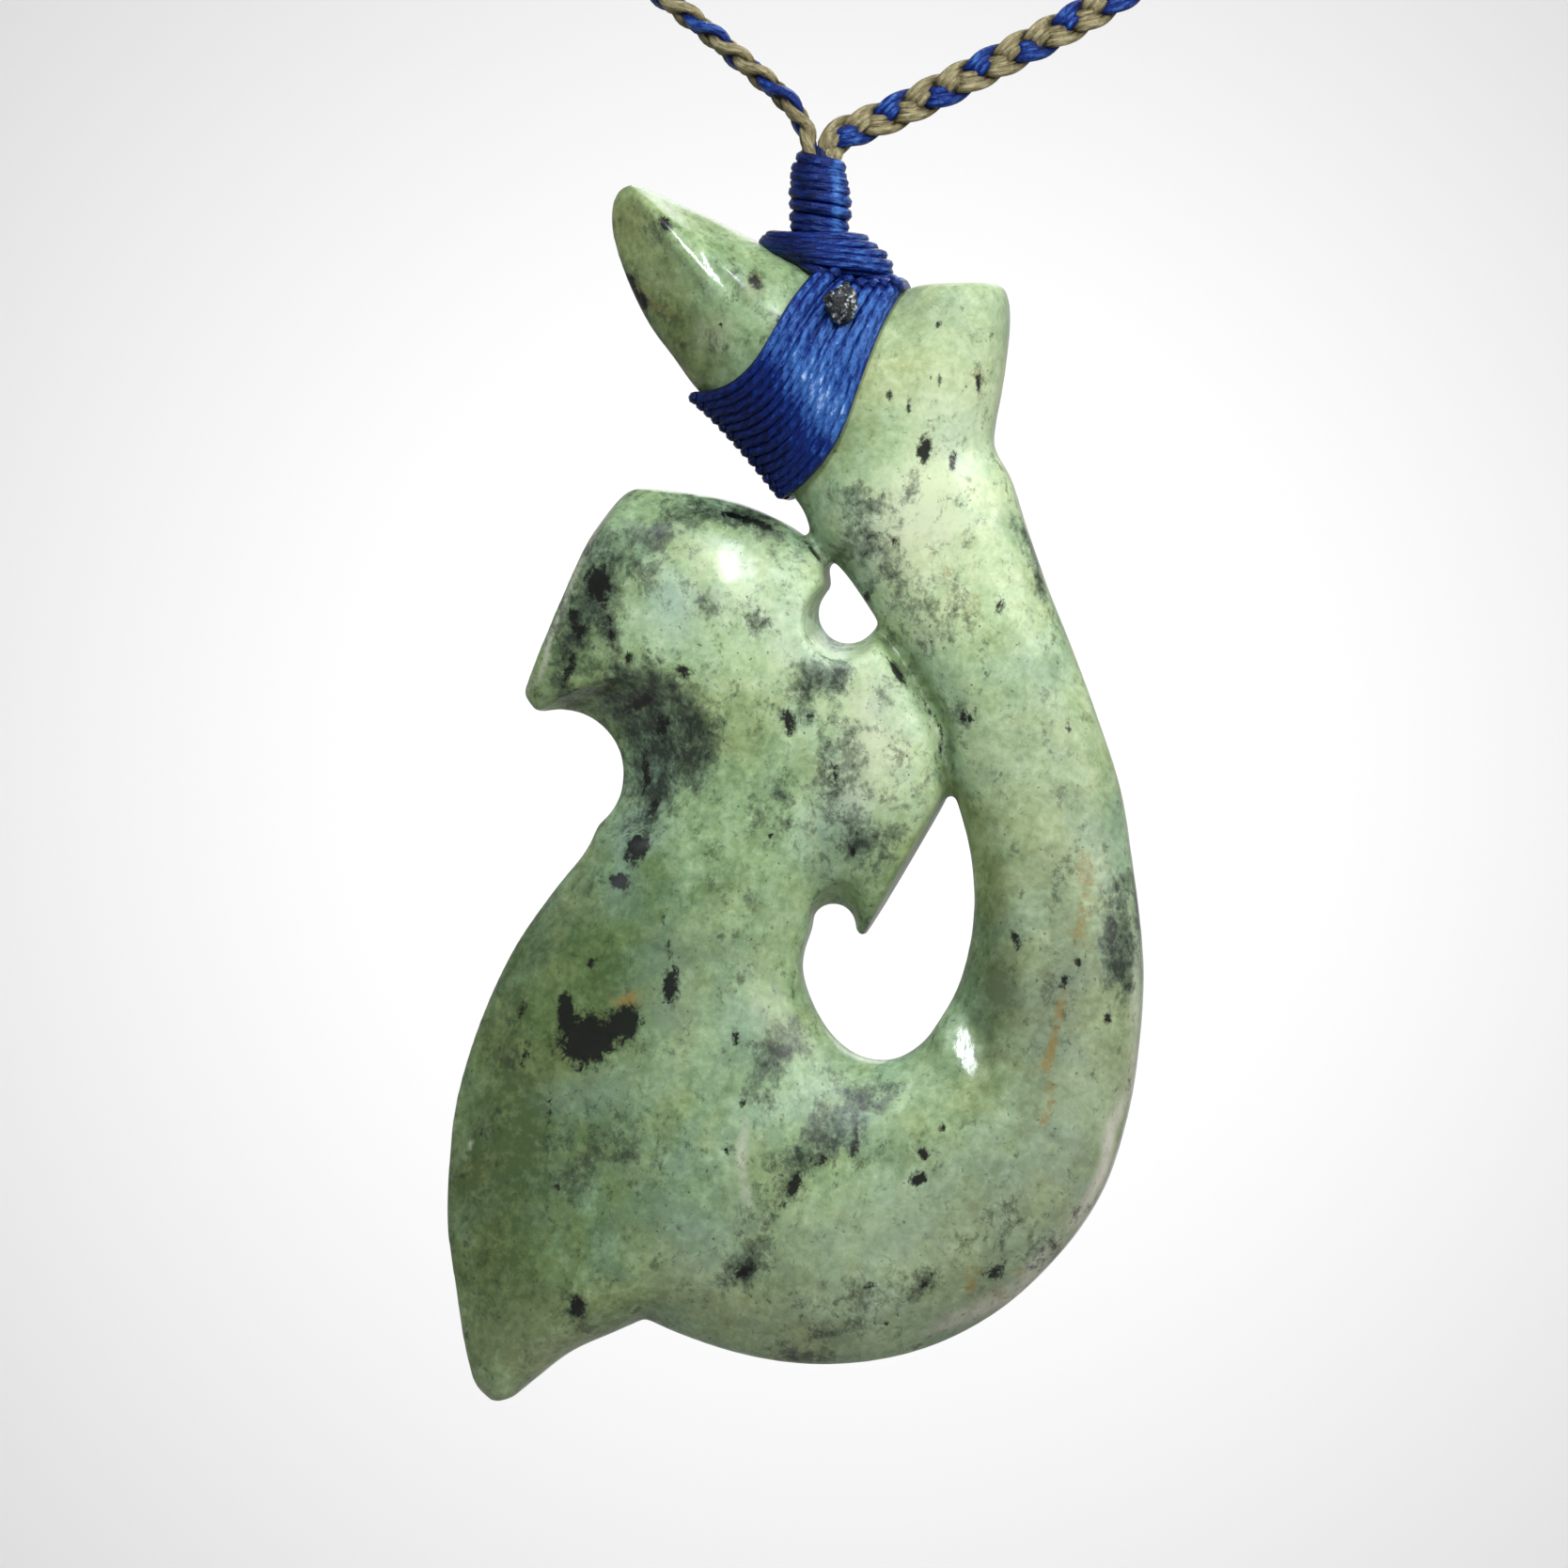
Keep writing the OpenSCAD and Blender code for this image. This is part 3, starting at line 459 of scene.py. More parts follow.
def polished_jade(tree):
    """Nephrite polished to a waxy gloss: cloudy green with smoky veins, black specks and rusty iron stains."""
    mm = in_mm(tree)
    told = {name: node(tree, "Attribute", out="Fac", attribute_name=name) for name, *rest in CHARTED}

    def cloud(size, detail, rough, distort, shift, drawn=1.0):
        """Pattern of a size in mm, moved by a shift of its own and drawn out along the stone's fibres."""
        moved = node(tree, "Mapping", {"Vector": mm, "Location": (shift, -shift, 2 * shift),
                                       "Rotation": (0, FIBRE_LEAN, 0), "Scale": (1, 1, 1 / drawn)})
        return node(tree, "TexNoise", {"Vector": moved, "Scale": 1 / size, "Detail": detail,
                                       "Roughness": rough, "Distortion": distort})

    # body colour: charted tone, with its painted shade beside the wing, 8 mm clouds, 2 mm mottle and 0.6 mm grain
    tone = weighed(tree, -0.27, (told["tone"], 0.19), (cloud(8, 4, 0.55, 0.6, 3), 0.5),
                   (cloud(2, 5, 0.65, 0.5, 11), 0.46), (cloud(0.6, 4, 0.65, 0.3, 17), 0.52))
    body, cold, gold = (node(tree, "ValToRGB", (tone,), stops=stops) for stops in (
        ((0.1, "#485f33"), (0.32, "#698150"), (0.5, "#90aa79"), (0.68, "#b2ca9a"), (0.9, "#d2e1b6")),
        ((0.1, "#3d5842"), (0.5, "#80a08c"), (0.9, "#c9dfcc")),
        ((0.1, "#525b30"), (0.5, "#a2ae70"), (0.9, "#dfe6b2"))))
    # hues that drift over 6 to 10 mm, to blue green and to yellow green, each as deep as the body there
    drift = node(tree, "ValToRGB", (cloud(6, 5, 0.65, 0.5, 23),), stops=((0.46, 0), (0.72, 0.6)))
    # coats laid over the body: pattern, the share that shows at each of its values, colour
    coats = [(cloud(10, 4, 0.6, 0.5, 37), ((0.44, 0), (0.7, 0.65)), cold),
             (weighed(tree, drift, (told["olive"], 1)), (), gold)]
    # milky patches and whitish veins, each broken up by 1 mm mottle; they also carry a painted bluish sheen on the
    # head and painted reflections on the outer rim and along the head's left end
    mottle = cloud(1.2, 4, 0.65, 0.4, 53, 1.5)
    for name, weight, colour in (("cool", 0.55, "#b4cbc2"), ("pale", 1, "#d6d3c4")):
        veil = weighed(tree, 0, (weighed(tree, 0, (told[name], weight)), mottle))
        coats.append((veil, ((0.02, 0), (0.7, 1)), colour))
    coats.append((weighed(tree, 0, (told["warm"], 0.3)), (), "#8e7b70"))
    # smoky mineral: a grey haze 2 mm across, and in it dark fragments from 1.6 mm down to 0.1 mm
    smoke = node(tree, "Math", (told["smoke"], 1.3), operation="MINIMUM")
    haze = weighed(tree, -0.5, (smoke, 0.42), (cloud(2.2, 4, 0.65, 0.4, 41), 1))
    coats.append((haze, ((0.12, 0), (0.7, 0.42)), "#64786b"))
    crumbs = weighed(tree, -1.92, (smoke, 0.5), (cloud(4, 3, 0.6, 0.4, 71), 0.5),
                     (cloud(1.2, 5, 0.7, 0.4, 67, 1.2), 2.05), (cloud(0.42, 5, 0.74, 0.3, 59, 1.15), 1.3))
    coats.append((crumbs, ((0.18, 0), (0.4, 0.44), (0.8, 0.92)), "#1c241e"))
    # lone 0.2 mm specks, more of them in the smoke
    specks = weighed(tree, cloud(0.4, 2, 0.5, 0, 29), (smoke, 0.05))
    coats.append((specks, ((0.69, 0), (0.77, 0.75)), "#3a453a"))
    # iron stains, broken into grains
    rust = weighed(tree, -1.28, (told["rust"], 0.6), (cloud(0.6, 5, 0.75, 0.3, 83), 2.2))
    coats.append((rust, ((0.05, 0), (0.6, 0.7)), "#8c7338"))
    # black specks with ragged edges, and the painted shadow along the slit beside the wing
    black = weighed(tree, -0.8, (told["black"], 0.8), (cloud(0.5, 5, 0.75, 0.5, 97, 1.2), 1.7))
    coats.append((black, ((0.38, 0), (0.66, 0.97)), "#070a08"))
    for pattern, stops, colour in coats:
        cover = node(tree, "ValToRGB", (pattern,), stops=stops) if stops else pattern
        body = node(tree, "Mix", {0: cover, 6: body, 7: colour}, out=2, data_type="RGBA")
    # hand polish: faint 5 mm waves and 0.5 mm lap marks, deeper in charted places
    depth = weighed(tree, 0.09, (told["lapped"], 0.2))
    waves = weighed(tree, cloud(5, 2, 0.5, 0, 7), (cloud(0.5, 3, 0.6, 0, 13), depth),
                    (cloud(0.9, 1, 0.5, 0.3, 31, 1.6), told["lapped"]))
    gloss = node(tree, "ValToRGB", (cloud(1.6, 3, 0.6, 0, 19),), stops=((0.3, 0.16), (0.7, 0.27)))
    return {"Base Color": body, "Roughness": weighed(tree, gloss, (told["dull"], 0.3)),
            "Normal": node(tree, "Bump", {"Height": waves, "Strength": 0.25, "Distance": 0.00025}),
            "IOR": 1.61, "Specular IOR Level": 0.38, "Subsurface Weight": 0.12,
            "Subsurface Radius": (1.0, 1.2, 0.8), "Subsurface Scale": 0.001}


# Twist of the thread: plies, and the length of one turn in mm
PLIES = 3
LAY = 3.6


def waxed_thread(tree, deep, middle, bright, painted_glint_and_tint, gloss):
    """Waxed polyester thread: plies of fine filaments twisted together, with painted shade in the grooves between the
    plies, painted glints where its tone runs high, and a waxy gloss.
    """
    stray = node(tree, "TexNoise", {"Vector": in_mm(tree), "Scale": 2.6, "Detail": 4, "Roughness": 0.65})
    # the map runs in mm along the thread, and once round it; stray filaments run nearly straight
    uv = node(tree, "UVMap", uv_map="UVMap")
    along, around = (node(tree, "SeparateXYZ", (uv,), out=axis) for axis in (0, 1))
    drawn = node(tree, "Mapping", {"Vector": uv, "Scale": (0.75, 6, 1)})
    hair = node(tree, "TexNoise", {"Vector": drawn, "Scale": 1.6, "Detail": 3, "Roughness": 0.6})
    turn = weighed(tree, 0, (around, PLIES), (along, PLIES / LAY), (stray, 1.2))
    ply = node(tree, "Math", (weighed(tree, 0, (turn, 2 * math.pi)),), operation="SINE")
    height = weighed(tree, 0, (ply, 0.22), (hair, 3.4), (stray, 1.4))
    tone = node(tree, "Attribute", out="Fac", attribute_name="tone")
    # painted light and shade: the colour darkens down in the bump's grooves and follows the tone attribute's painted
    # shade, light and glints; the top stop is a painted glint
    wax = weighed(tree, -0.12, (height, 0.24), (tone, 0.26))
    return {"Base Color": node(tree, "ValToRGB", (wax,),
                               stops=((0.14, deep), (0.47, middle), (0.78, bright), (0.96, painted_glint_and_tint))),
            "Normal": node(tree, "Bump", {"Height": height, "Strength": 1, "Distance": 0.00006}),
            "Roughness": gloss, "Specular IOR Level": 0.35, "Specular Tint": painted_glint_and_tint}


def melted_tip(tree):
    """Polyester melted with a flame: nearly black, glassy and lumpy, with silvery specks painted into its colour as
    glints.
    """
    mm = in_mm(tree)
    lumps = node(tree, "TexNoise", {"Vector": mm, "Scale": 2.2, "Detail": 4, "Roughness": 0.7})
    painted_glint_flecks = node(tree, "TexNoise", {"Vector": mm, "Scale": 2.3, "Detail": 2.5, "Roughness": 0.7})
    # painted glints: the palest stop paints silvery highlights into the colour
    return {"Base Color": node(tree, "ValToRGB", (painted_glint_flecks,),
                               stops=((0.46, "#14181a"), (0.56, "#4a504f"), (0.64, "#d3d9d6"))),
            "Normal": node(tree, "Bump", {"Height": lumps, "Strength": 1, "Distance": 0.0003}), "Roughness": 0.22}


def pale_paper(tree):
    """Matt white seamless paper, plain."""
    return {"Base Color": "#f4f4f4", "Roughness": 0.9}


jade = material("polished_nephrite_jade", polished_jade)
# the fourth colour of each thread is both its painted glint and its specular tint
blue_wax = material("waxed_polyester_blue", waxed_thread, "#070d38", "#122a74", "#4576bd", "#b4cdf2", 0.24)
tan_wax = material("waxed_polyester_tan", waxed_thread, "#2b2516", "#857b59", "#c2b892", "#ebe4c8", 0.4)
melted = material("melted_polyester", melted_tip)
paper = material("matt_white_paper", pale_paper)

# ---- the stone

# Points across each side of a form, and steps from one row of its table to the next
AROUND = 44
ALONG = 5
# Fineness of the stone's one skin in mm, and how often its seams and then all of it are smoothed
SKIN_STEP = 0.3
BLEND_STEPS = 160
POLISH_STEPS = 7
# How the marks wander as they go back through the stone: size of the bends in mm, and mm for each mm
MARK_WANDER = 4.0
MARK_DRIFT = 0.55
# Where the forms flow into each other: x, z, half width, half height, turn, strength
SEAMS = [
    (-0.8, -58, 2.2, 4, 0, 1.2), (0, -64, 3.6, 3.4, 0, 1.2), (-3, -69, 6, 4, 40, 1.2), (-9, -68, 6, 4, -45, 1),
    (5.5, -14, 3, 5, -20, 1), (3, -20, 2.5, 4, -20, 0.6), (-8.6, -44.6, 3, 2.4, 30, 0.6),
    (-4.4, -8.6, 1.8, 1.8, 0, 0.5), (5.4, -34.3, 0.9, 4.2, 24, 0.12), (8, -39.8, 0.9, 4.2, 18, 0.12),
    (2.7, -28.5, 0.9, 2.2, 30, 0.1),
]
# Places polished to face the key light: x, z, reach across and along, radius across and along, turn
FLATS = [(-5.45, -27.4, 2.2, 2.7, 11, 17, 0), (9.7, -58.9, 1.7, 2.7, 17, 42, 28), (-8.3, -7, 0.8, 4.8, 1, 70, 41)]


def form(rows, profile, soft):
    """One form of the stone: a sheet wrapped round its rows, seamed, and closed at both ends."""
    last = len(rows) - 1
    ring = 2 * AROUND
    bm = bmesh.new()
    bmesh.ops.create_grid(bm, x_segments=ring, y_segments=ALONG * last, size=1)
    for vert in bm.verts:
        column = round((vert.co.x + 1) / 2 * ring) % ring
        v = (vert.co.y + 1) / 2 * last
        side, step = (-1, column) if column < AROUND else (1, ring - 1 - column)
        u = 0.5 - 0.5 * math.cos(math.pi * step / (AROUND - 1))
        vert.co = skin_point(rows, profile, v, u, side, soft)
    bmesh.ops.remove_doubles(bm, verts=bm.verts, dist=1e-5)
    bmesh.ops.holes_fill(bm, edges=[e for e in bm.edges if e.is_boundary])
    bmesh.ops.recalc_face_normals(bm, faces=bm.faces)
    return mesh_of(bm)


def cut_tool():
    """Cutters for the notches. The countersunk ones narrow from the faces to the middle of the stone."""
    bm = bmesh.new()

    def cone(depth, low, high, turn, place=(0, 0, 0)):
        """Cone along y, and its vertices."""
        where = Matrix.Translation(place) @ Matrix.Rotation(turn * math.pi / 2, 4, "X")
        return bmesh.ops.create_cone(bm, cap_ends=True, segments=64, depth=depth, radius1=low, radius2=high,
                                     matrix=where)["verts"]

    for x, z, r, mid_x, mid_z, mid_r in NOTCHES:
        for side in (-1, 1):
            for vert in cone(2 * FACE_Y + 0.2, mid_r, 2 * r - mid_r, -side):
                out = vert.co.y * side > 0
                vert.co += Vector((2 * x - mid_x, 0, 2 * z - mid_z) if out else (mid_x, 0, mid_z))
                vert.co.y += side * (FACE_Y + NOTCH_LAND)
        cone(2 * NOTCH_LAND + 0.4, mid_r, mid_r, 1, (mid_x, 0, mid_z))
    for x, z, r in BROW_NOTCH:
        cone(16, r, r, 1, (x, 0, z))
    bmesh.ops.recalc_face_normals(bm, faces=bm.faces)
    return placed("notch_cutters", mesh_of(bm))


def shine(places):
    """Polish each flat so that it faces halfway between the camera and the key light."""
    key = Vector(round_the_stone(*KEY))
    for x, z, reach_across, reach_along, radius_across, radius_along, turn in FLATS:
        front = places[:, 1] < 0
        near = np.hypot(places[:, 0] - x, places[:, 2] - z)
        middle = places[front][np.argmin(near[front])].copy()
        spot = TO_FRAME @ Vector(middle)
        facing = (camera.location - spot).normalized() + (key - spot).normalized()
        dx, dz = places[:, 0] - middle[0], places[:, 2] - middle[2]
        c, s = math.cos(math.radians(turn)), math.sin(math.radians(turn))
        across, along = dx * c + dz * s, dz * c - dx * s
        flat = middle[1] - (facing.x * dx + facing.z * dz) / facing.y
        flat += across ** 2 / (2 * radius_across) + along ** 2 / (2 * radius_along)
        share = np.exp(-((across / reach_across) ** 2 + (along / reach_along) ** 2) ** 2) * front
        places[:, 1] += share * (flat - places[:, 1])


def carve_stone():
    """The stone as one fine skin over its forms, with blended seams, polish and the charted marks."""
    shark = placed("shark", joined([form(*BODY), form(*HEAD)]))
    cut = shark.modifiers.new("notches", "BOOLEAN")
    cutters = cut_tool()
    cut.operation = "DIFFERENCE"
    cut.solver = "EXACT"
    cut.use_self = True
    cut.object = cutters
    shark_mesh = baked(shark)
    bpy.data.objects.remove(cutters)
    whole = placed("stone", joined([shark_mesh, form(*HOOK), form(*HORN)]))
    fine = whole.modifiers.new("one_skin", "REMESH")
    fine.mode = "VOXEL"
    fine.voxel_size = SKIN_STEP
    stone = placed("stone", baked(whole))
    seams = stone.vertex_groups.new(name="seams")
    for index, weight in enumerate(np.minimum(field(corners(stone.data), SEAMS, 1.0), 1.0)):
        if weight > 0.02:
            seams.add([index], float(weight), "REPLACE")
    for name, steps, group in (("blend", BLEND_STEPS, "seams"), ("polish", POLISH_STEPS, "")):
        polish = stone.modifiers.new(name, "SMOOTH")
        polish.factor = 0.5
        polish.iterations = steps
        polish.vertex_group = group
    mesh = baked(stone)
    mesh.shade_smooth()
    places = corners(mesh)
    shine(places)
    mesh.vertices.foreach_set("co", places.astype(np.float32).ravel())
    # the marks run on through the stone, and wander more the deeper they go
    wander = np.array([noise.noise_vector(Vector(place) / MARK_WANDER) for place in places])
    wander *= (places[:, 1:2] + FACE_Y) * MARK_DRIFT * (1, 0, 1)
    for name, marks, back in CHARTED:
        tell(mesh, name, field(places + wander, marks, back))
    return mesh


piece("carved_stone", carve_stone(), jade, "jade_hook")

# ---- the threads


def thread(path, radius, closed=False):
    """Round thread along a path in mm, its map once round and in mm along."""
    data = bpy.data.curves.new("thread", "CURVE")
    data.dimensions = "3D"
    data.bevel_depth = radius
    data.bevel_resolution = 2
    data.use_fill_caps = not closed
    line = data.splines.new("POLY")
    line.points.add(len(path) - 1)
    line.points.foreach_set("co", [c for p in path for c in (*p, 1)])
    line.use_cyclic_u = closed
    mesh = baked(placed("thread", data))
    length = sum((b - a).length for a, b in zip(path, path[1:]))
    uv = np.zeros(len(mesh.loops) * 2, np.float32)
    layer = mesh.uv_layers["UVMap"].data
    layer.foreach_get("uv", uv)
    uv[0::2] *= length
    layer.foreach_set("uv", uv)
    mesh.shade_smooth()
    return mesh


def bundle(name, meshes, looks, solid, tones, crowns):
    """One piece from several threads, its wax painted lighter or darker as light and shade, where the tones and the
    crowns say.
    """
    mesh = joined(meshes)
    places = corners(mesh)
    tell(mesh, "tone", field(places, tones, 1.0) + crowns(places))
    piece(name, mesh, looks, solid)


def sway(place, seed, size):
    """A small steady wander of a thread about its line."""
    at = Vector(place) / 3.0 + Vector((seed * 7.3, seed * 3.1, -seed * 5.7))
    return Vector(noise.noise_vector(at)) * size


# Painted shade by the height on a thread or a lobe, dark in the grooves and pale on top: the height of the even tone,
# slope, darkest and palest tone
WRAP_GROOVE_SHADE = (0.72, 1.5, -1.2, 0.3)
PLAIT_GROOVE_SHADE = (0.85, 4.6, -2.3, 0.5)


def painted_groove_shade(heights, even, slope, darkest, palest):
    """Painted shade and light on the wax: darker in the grooves, where shade falls, and paler on the tops."""
    return np.clip(slope * (heights - even), darkest, palest)


def grooved(lines, radius, outward):
    """A function that paints shade into the grooves between the turns of a wrap, and light on their tops."""
    tree = finder([point for line in lines for point in line])

    def crowns(places):
        heights = []
        for place in places:
            spot, index, away = tree.find(place)
            heights.append((Vector(place) - spot).dot(outward(spot, index)) / radius)
        return painted_groove_shade(np.array(heights), *WRAP_GROOVE_SHADE)

    return crowns


def from_neck(spot, index):
    """Straight out from the neck's middle line."""
    return Vector((spot.x, spot.y, 0)).normalized()


# Lashing: one thread wound round the root of the horn, from a row of the horn and over some rows
LASHING_FROM = 7.2
LASHING_OVER = 3.45
LASHING_BOW = 0.68
LASHING_TURNS = 13
LASHING_STEPS = 96
LASHING_R = 0.42
# how far every other turn rides up on its neighbours where they crowd at the top of the horn
LASHING_LIFT = 0.42
UNDER_R = 0.32
LAY_GAP = 0.03
# Painted light and shade on the lashing: darker to the lower left where it lies in shade, a painted band of glints
# across the middle, and paler to the upper right
LASHING_SHADE_AND_GLINTS = [
    (-3.6, -20.2, 3.2, 6, 42, -0.95), (-5.5, -16.5, 2.5, 3, 0, -0.5), (0.6, -16.8, 1.2, 4.6, 36, 1),
    (2.6, -13, 2.6, 4, -20, 0.55),
]


def lashing_ring(v, lift, high=LASHING_R + LAY_GAP):
    """Closed loop round the horn, bowed along it, a height off the stone."""
    rim = []
    shares = [0.5 - 0.5 * math.cos(math.pi * i / 15) for i in range(16)]
    for side, row in ((-1, shares), (1, shares[::-1])):
        for u in row:
            # 6.75 brings the top of the bow, a third of the way across, to 1
            bow = LASHING_BOW * 6.75 * u * (1 - u) ** 2
            rim.append(skin_point(HORN_ROWS, HORN_PROFILE, v + bow, u, side, 0.2, high + lift * u))
    return rim


def ring_at(rim, s):
    """Point of a closed ring of points at a share s of the way round, rounded."""
    n = len(rim)
    i = int(s * n) % n
    t = s * n - int(s * n)
    return Vector(through(*(rim[(i + k) % n][c] for k in (-1, 0, 1, 2)), t) for c in range(3))


def wind_lashing():
    """The lashing's turns, and a thinner lay under them that fills the grooves."""
    top, under, middles = [], [], []
    # both ends are tucked away at the back
    for i in range(round(-0.45 * LASHING_STEPS), round((LASHING_TURNS - 0.3) * LASHING_STEPS)):
        turn = i / LASHING_STEPS
        v = LASHING_FROM + LASHING_OVER * turn / LASHING_TURNS
        lifted = 0.5 < turn < LASHING_TURNS - 0.5
        rim = lashing_ring(v, LASHING_LIFT * (0.5 - 0.5 * math.cos(math.pi * (turn - 0.5))) if lifted else 0)
        point = ring_at(rim, turn % 1)
        top.append(point + sway(point, 1, 0.05))
        middles.append(sum(rim, Vector()) / len(rim))
        if turn < LASHING_TURNS - 1:
            half_turn = 0.5 * LASHING_OVER / LASHING_TURNS
            under.append(ring_at(lashing_ring(v + half_turn, 0, UNDER_R + LAY_GAP), turn % 1))
    axis = (middles[-1] - middles[0]).normalized()

    def outward(spot, index):
        run = top[min(index + 1, len(top) - 1)] - top[max(index - 1, 0)]
        out = run.cross(axis).normalized()
        return out if out.dot(spot - middles[index]) > 0 else -out

    bundle("lashing_thread", [thread(top, LASHING_R), thread(under, UNDER_R)], blue_wax,
           "shank_lashing", LASHING_SHADE_AND_GLINTS, grooved([top], LASHING_R, outward))


wind_lashing()

# Whipping: one thread wound round the ends of the plait
WHIP_R = 0.46
WHIP_TURNS = 8
WHIP_STEPS = 64
# how unevenly its turns crowd, and in mm how they differ in tightness, sag to the right and waver
WHIP_CROWD = 0.035
WHIP_SLACK = 0.16
WHIP_SAG = 0.14
WHIP_WAVER = 0.08
# Painted shade on the left of the column and a painted band of glints down its right side
WHIP_SHADE_AND_GLINTS = [(-0.6, -3, 1.4, 4, 0, -1.15), (1.25, -3.2, 0.3, 3.6, 0, 1.2)]


def column_r(z):
    """Half width of the neck column at a height."""
    heights = [row[0] for row in reversed(COLUMN_ROWS)]
    return float(np.interp(z, heights, [row[1] for row in reversed(COLUMN_ROWS)]))


def wind_whipping():
    """The column's turns, and a plain core that fills it."""
    base = COLUMN_ROWS[-1][0]
    path = []
    for i in range(WHIP_TURNS * WHIP_STEPS + 1):
        share = i / (WHIP_TURNS * WHIP_STEPS)
        z = -WHIP_R + (base + 1.2 * WHIP_R) * (share + WHIP_CROWD * math.sin(9.0 * share))
        angle = 2 * math.pi * i / WHIP_STEPS
        r = column_r(z) - WHIP_R + WHIP_SLACK * noise.noise(Vector((3.1, 0, share * 14)))
        z += -WHIP_SAG * math.cos(angle) + WHIP_WAVER * noise.noise(Vector((0, 9.2, share * 11)))
        path.append(Vector((r * math.cos(angle), r * math.sin(angle), z)))
    bm = bmesh.new()
    rail = [(max(column_r(z) - 1.6 * WHIP_R, 0.2), 0, z) for z in (-0.15, -1.4, -2.8, -4.1, -5.6)]
    rail = [bm.verts.new(place) for place in rail + [(1.2, 0, -5.9), (1.2, 0, -8.2)]]
    edges = [bm.edges.new(pair) for pair in zip(rail, rail[1:])]
    bmesh.ops.spin(bm, geom=rail + edges, cent=(0, 0, 0), axis=(0, 0, 1), angle=2 * math.pi, steps=32, use_merge=True)
    bmesh.ops.holes_fill(bm, edges=[e for e in bm.edges if e.is_boundary])
    bmesh.ops.recalc_face_normals(bm, faces=bm.faces)
    bm.loops.layers.uv.new("UVMap")
    bundle("whipping_thread", [thread(path, WHIP_R), mesh_of(bm)], blue_wax,
           "neck_whipping", WHIP_SHADE_AND_GLINTS, grooved([path], WHIP_R, from_neck))


wind_whipping()

# Collar: rings of thread in a tight bundle on the left that fan out down the right
COLLAR_R = 0.34
COLLAR_STEPS = 72
# how late the rings fan out on their way to the right
COLLAR_FAN = 0.65
# Rings: x and z at the left, x and z at the right, half depth
COLLAR_STRANDS = [
    (-3.3, -5.95, 2.9, -6.05, 2.45), (-3.6, -6.1, 3.5, -6.65, 2.75), (-3.7, -6.28, 4.1, -7.2, 2.95),
    (-3.5, -6.5, 4.5, -7.75, 3.05), (-3.2, -6.68, 4.5, -8.28, 2.95), (-2.9, -6.75, 3.9, -8.6, 2.6),
    (-2.1, -6.95, 3, -8.75, 2.1), (-2.8, -6.3, 3.2, -7.4, 2.3), (-1.6, -7.2, 2.4, -9, 3),
    (0.6, -8.15, 4.8, -8.75, 1.6),
]
# Painted light on the collar's lower right, and painted shade at its left and under it, above the horn
COLLAR_LIGHT_AND_SHADE = [(2.9, -7.4, 1.4, 0.8, -30, 0.25), (-0.9, -7.5, 2.2, 1, -30, -1.1), (-2, -6.2, 2, 1, 0, -0.5)]


def wind_collar():
    """The collar's rings."""
    lines = []
    for index, (left_x, left_z, right_x, right_z, deep) in enumerate(COLLAR_STRANDS):
        path = []
        for i in range(COLLAR_STEPS):
            angle = 2 * math.pi * i / COLLAR_STEPS
            fan = (0.5 + 0.5 * math.cos(angle)) ** COLLAR_FAN
            x = (left_x + right_x) / 2 + (right_x - left_x) / 2 * math.cos(angle)
            place = Vector((x, 0.2 + deep * math.sin(angle), left_z + (right_z - left_z) * fan))
            path.append(place + sway(place, 2 + index, 0.10))
        lines.append(path)
    bundle("collar_strands", [thread(path, COLLAR_R, closed=True) for path in lines], blue_wax,
           "collar_wrap", COLLAR_LIGHT_AND_SHADE, grooved(lines, COLLAR_R, from_neck))


wind_collar()

# Melted end of the lashing thread: its middle and its half sizes
SEAL_AT = (1.95, -5.95, -10.6)
SEAL_HALF = (1.02, 0.72, 1.32)


def melt_end():
    """A blob with coarse and fine lumps."""
    bm = bmesh.new()
    for vert in bmesh.ops.create_icosphere(bm, subdivisions=4, radius=1.0)["verts"]:
        way = vert.co.normalized()
        lumps = 1 + 0.30 * noise.noise(way * 1.7 + Vector((4, 1, 2))) + 0.14 * noise.noise(way * 4.1)
        vert.co = way * Vector(SEAL_HALF) * lumps + Vector(SEAL_AT)
    mesh = mesh_of(bm)
    mesh.shade_smooth()
    piece("sealed_tip", mesh, melted, "sealed_cord_end")


melt_end()

# Plait: three strands of three threads, the first blue and the others tan
PLAIT_PERIOD = 6.63
PLAIT_REACH = 0.50
PLAIT_LIFT = -0.32
# degrees into its period where the plait ends at the right of the column
PLAIT_START = 118
STRAND_STEP = 0.36
STRAND_THREAD_R = 0.37
POINTS_PER_PERIOD = 24
# The first mark darkens all the plait's wax evenly; the second is painted shade on the strands at the left, where
# they leave the column
PLAIT_TONE_AND_SHADE = [(0, 100, 400, 400, 0, -0.25), (-2.6, 2.2, 2, 2.6, 0, -0.45)]
# near the stone the plait faces forward, and from 35 to 95 mm up it turns into the plane of the loop
FORWARD = np.array((0, -1, 0))
LOOP_NORMAL = np.array((0, -0.756, 0.655))
FORWARD_UP_TO = 35
TURNED_OVER = 60
# its flat turns from nearly edge-on at the left to full on at the right, over 0.8 of the loop
EDGE_ON = math.radians(80)
PLAIT_STRANDS = [
    ("plait_blue", "blue_thread", blue_wax), ("plait_tan_first", "tan_thread", tan_wax),
    ("plait_tan_second", "tan_thread", tan_wax),
]


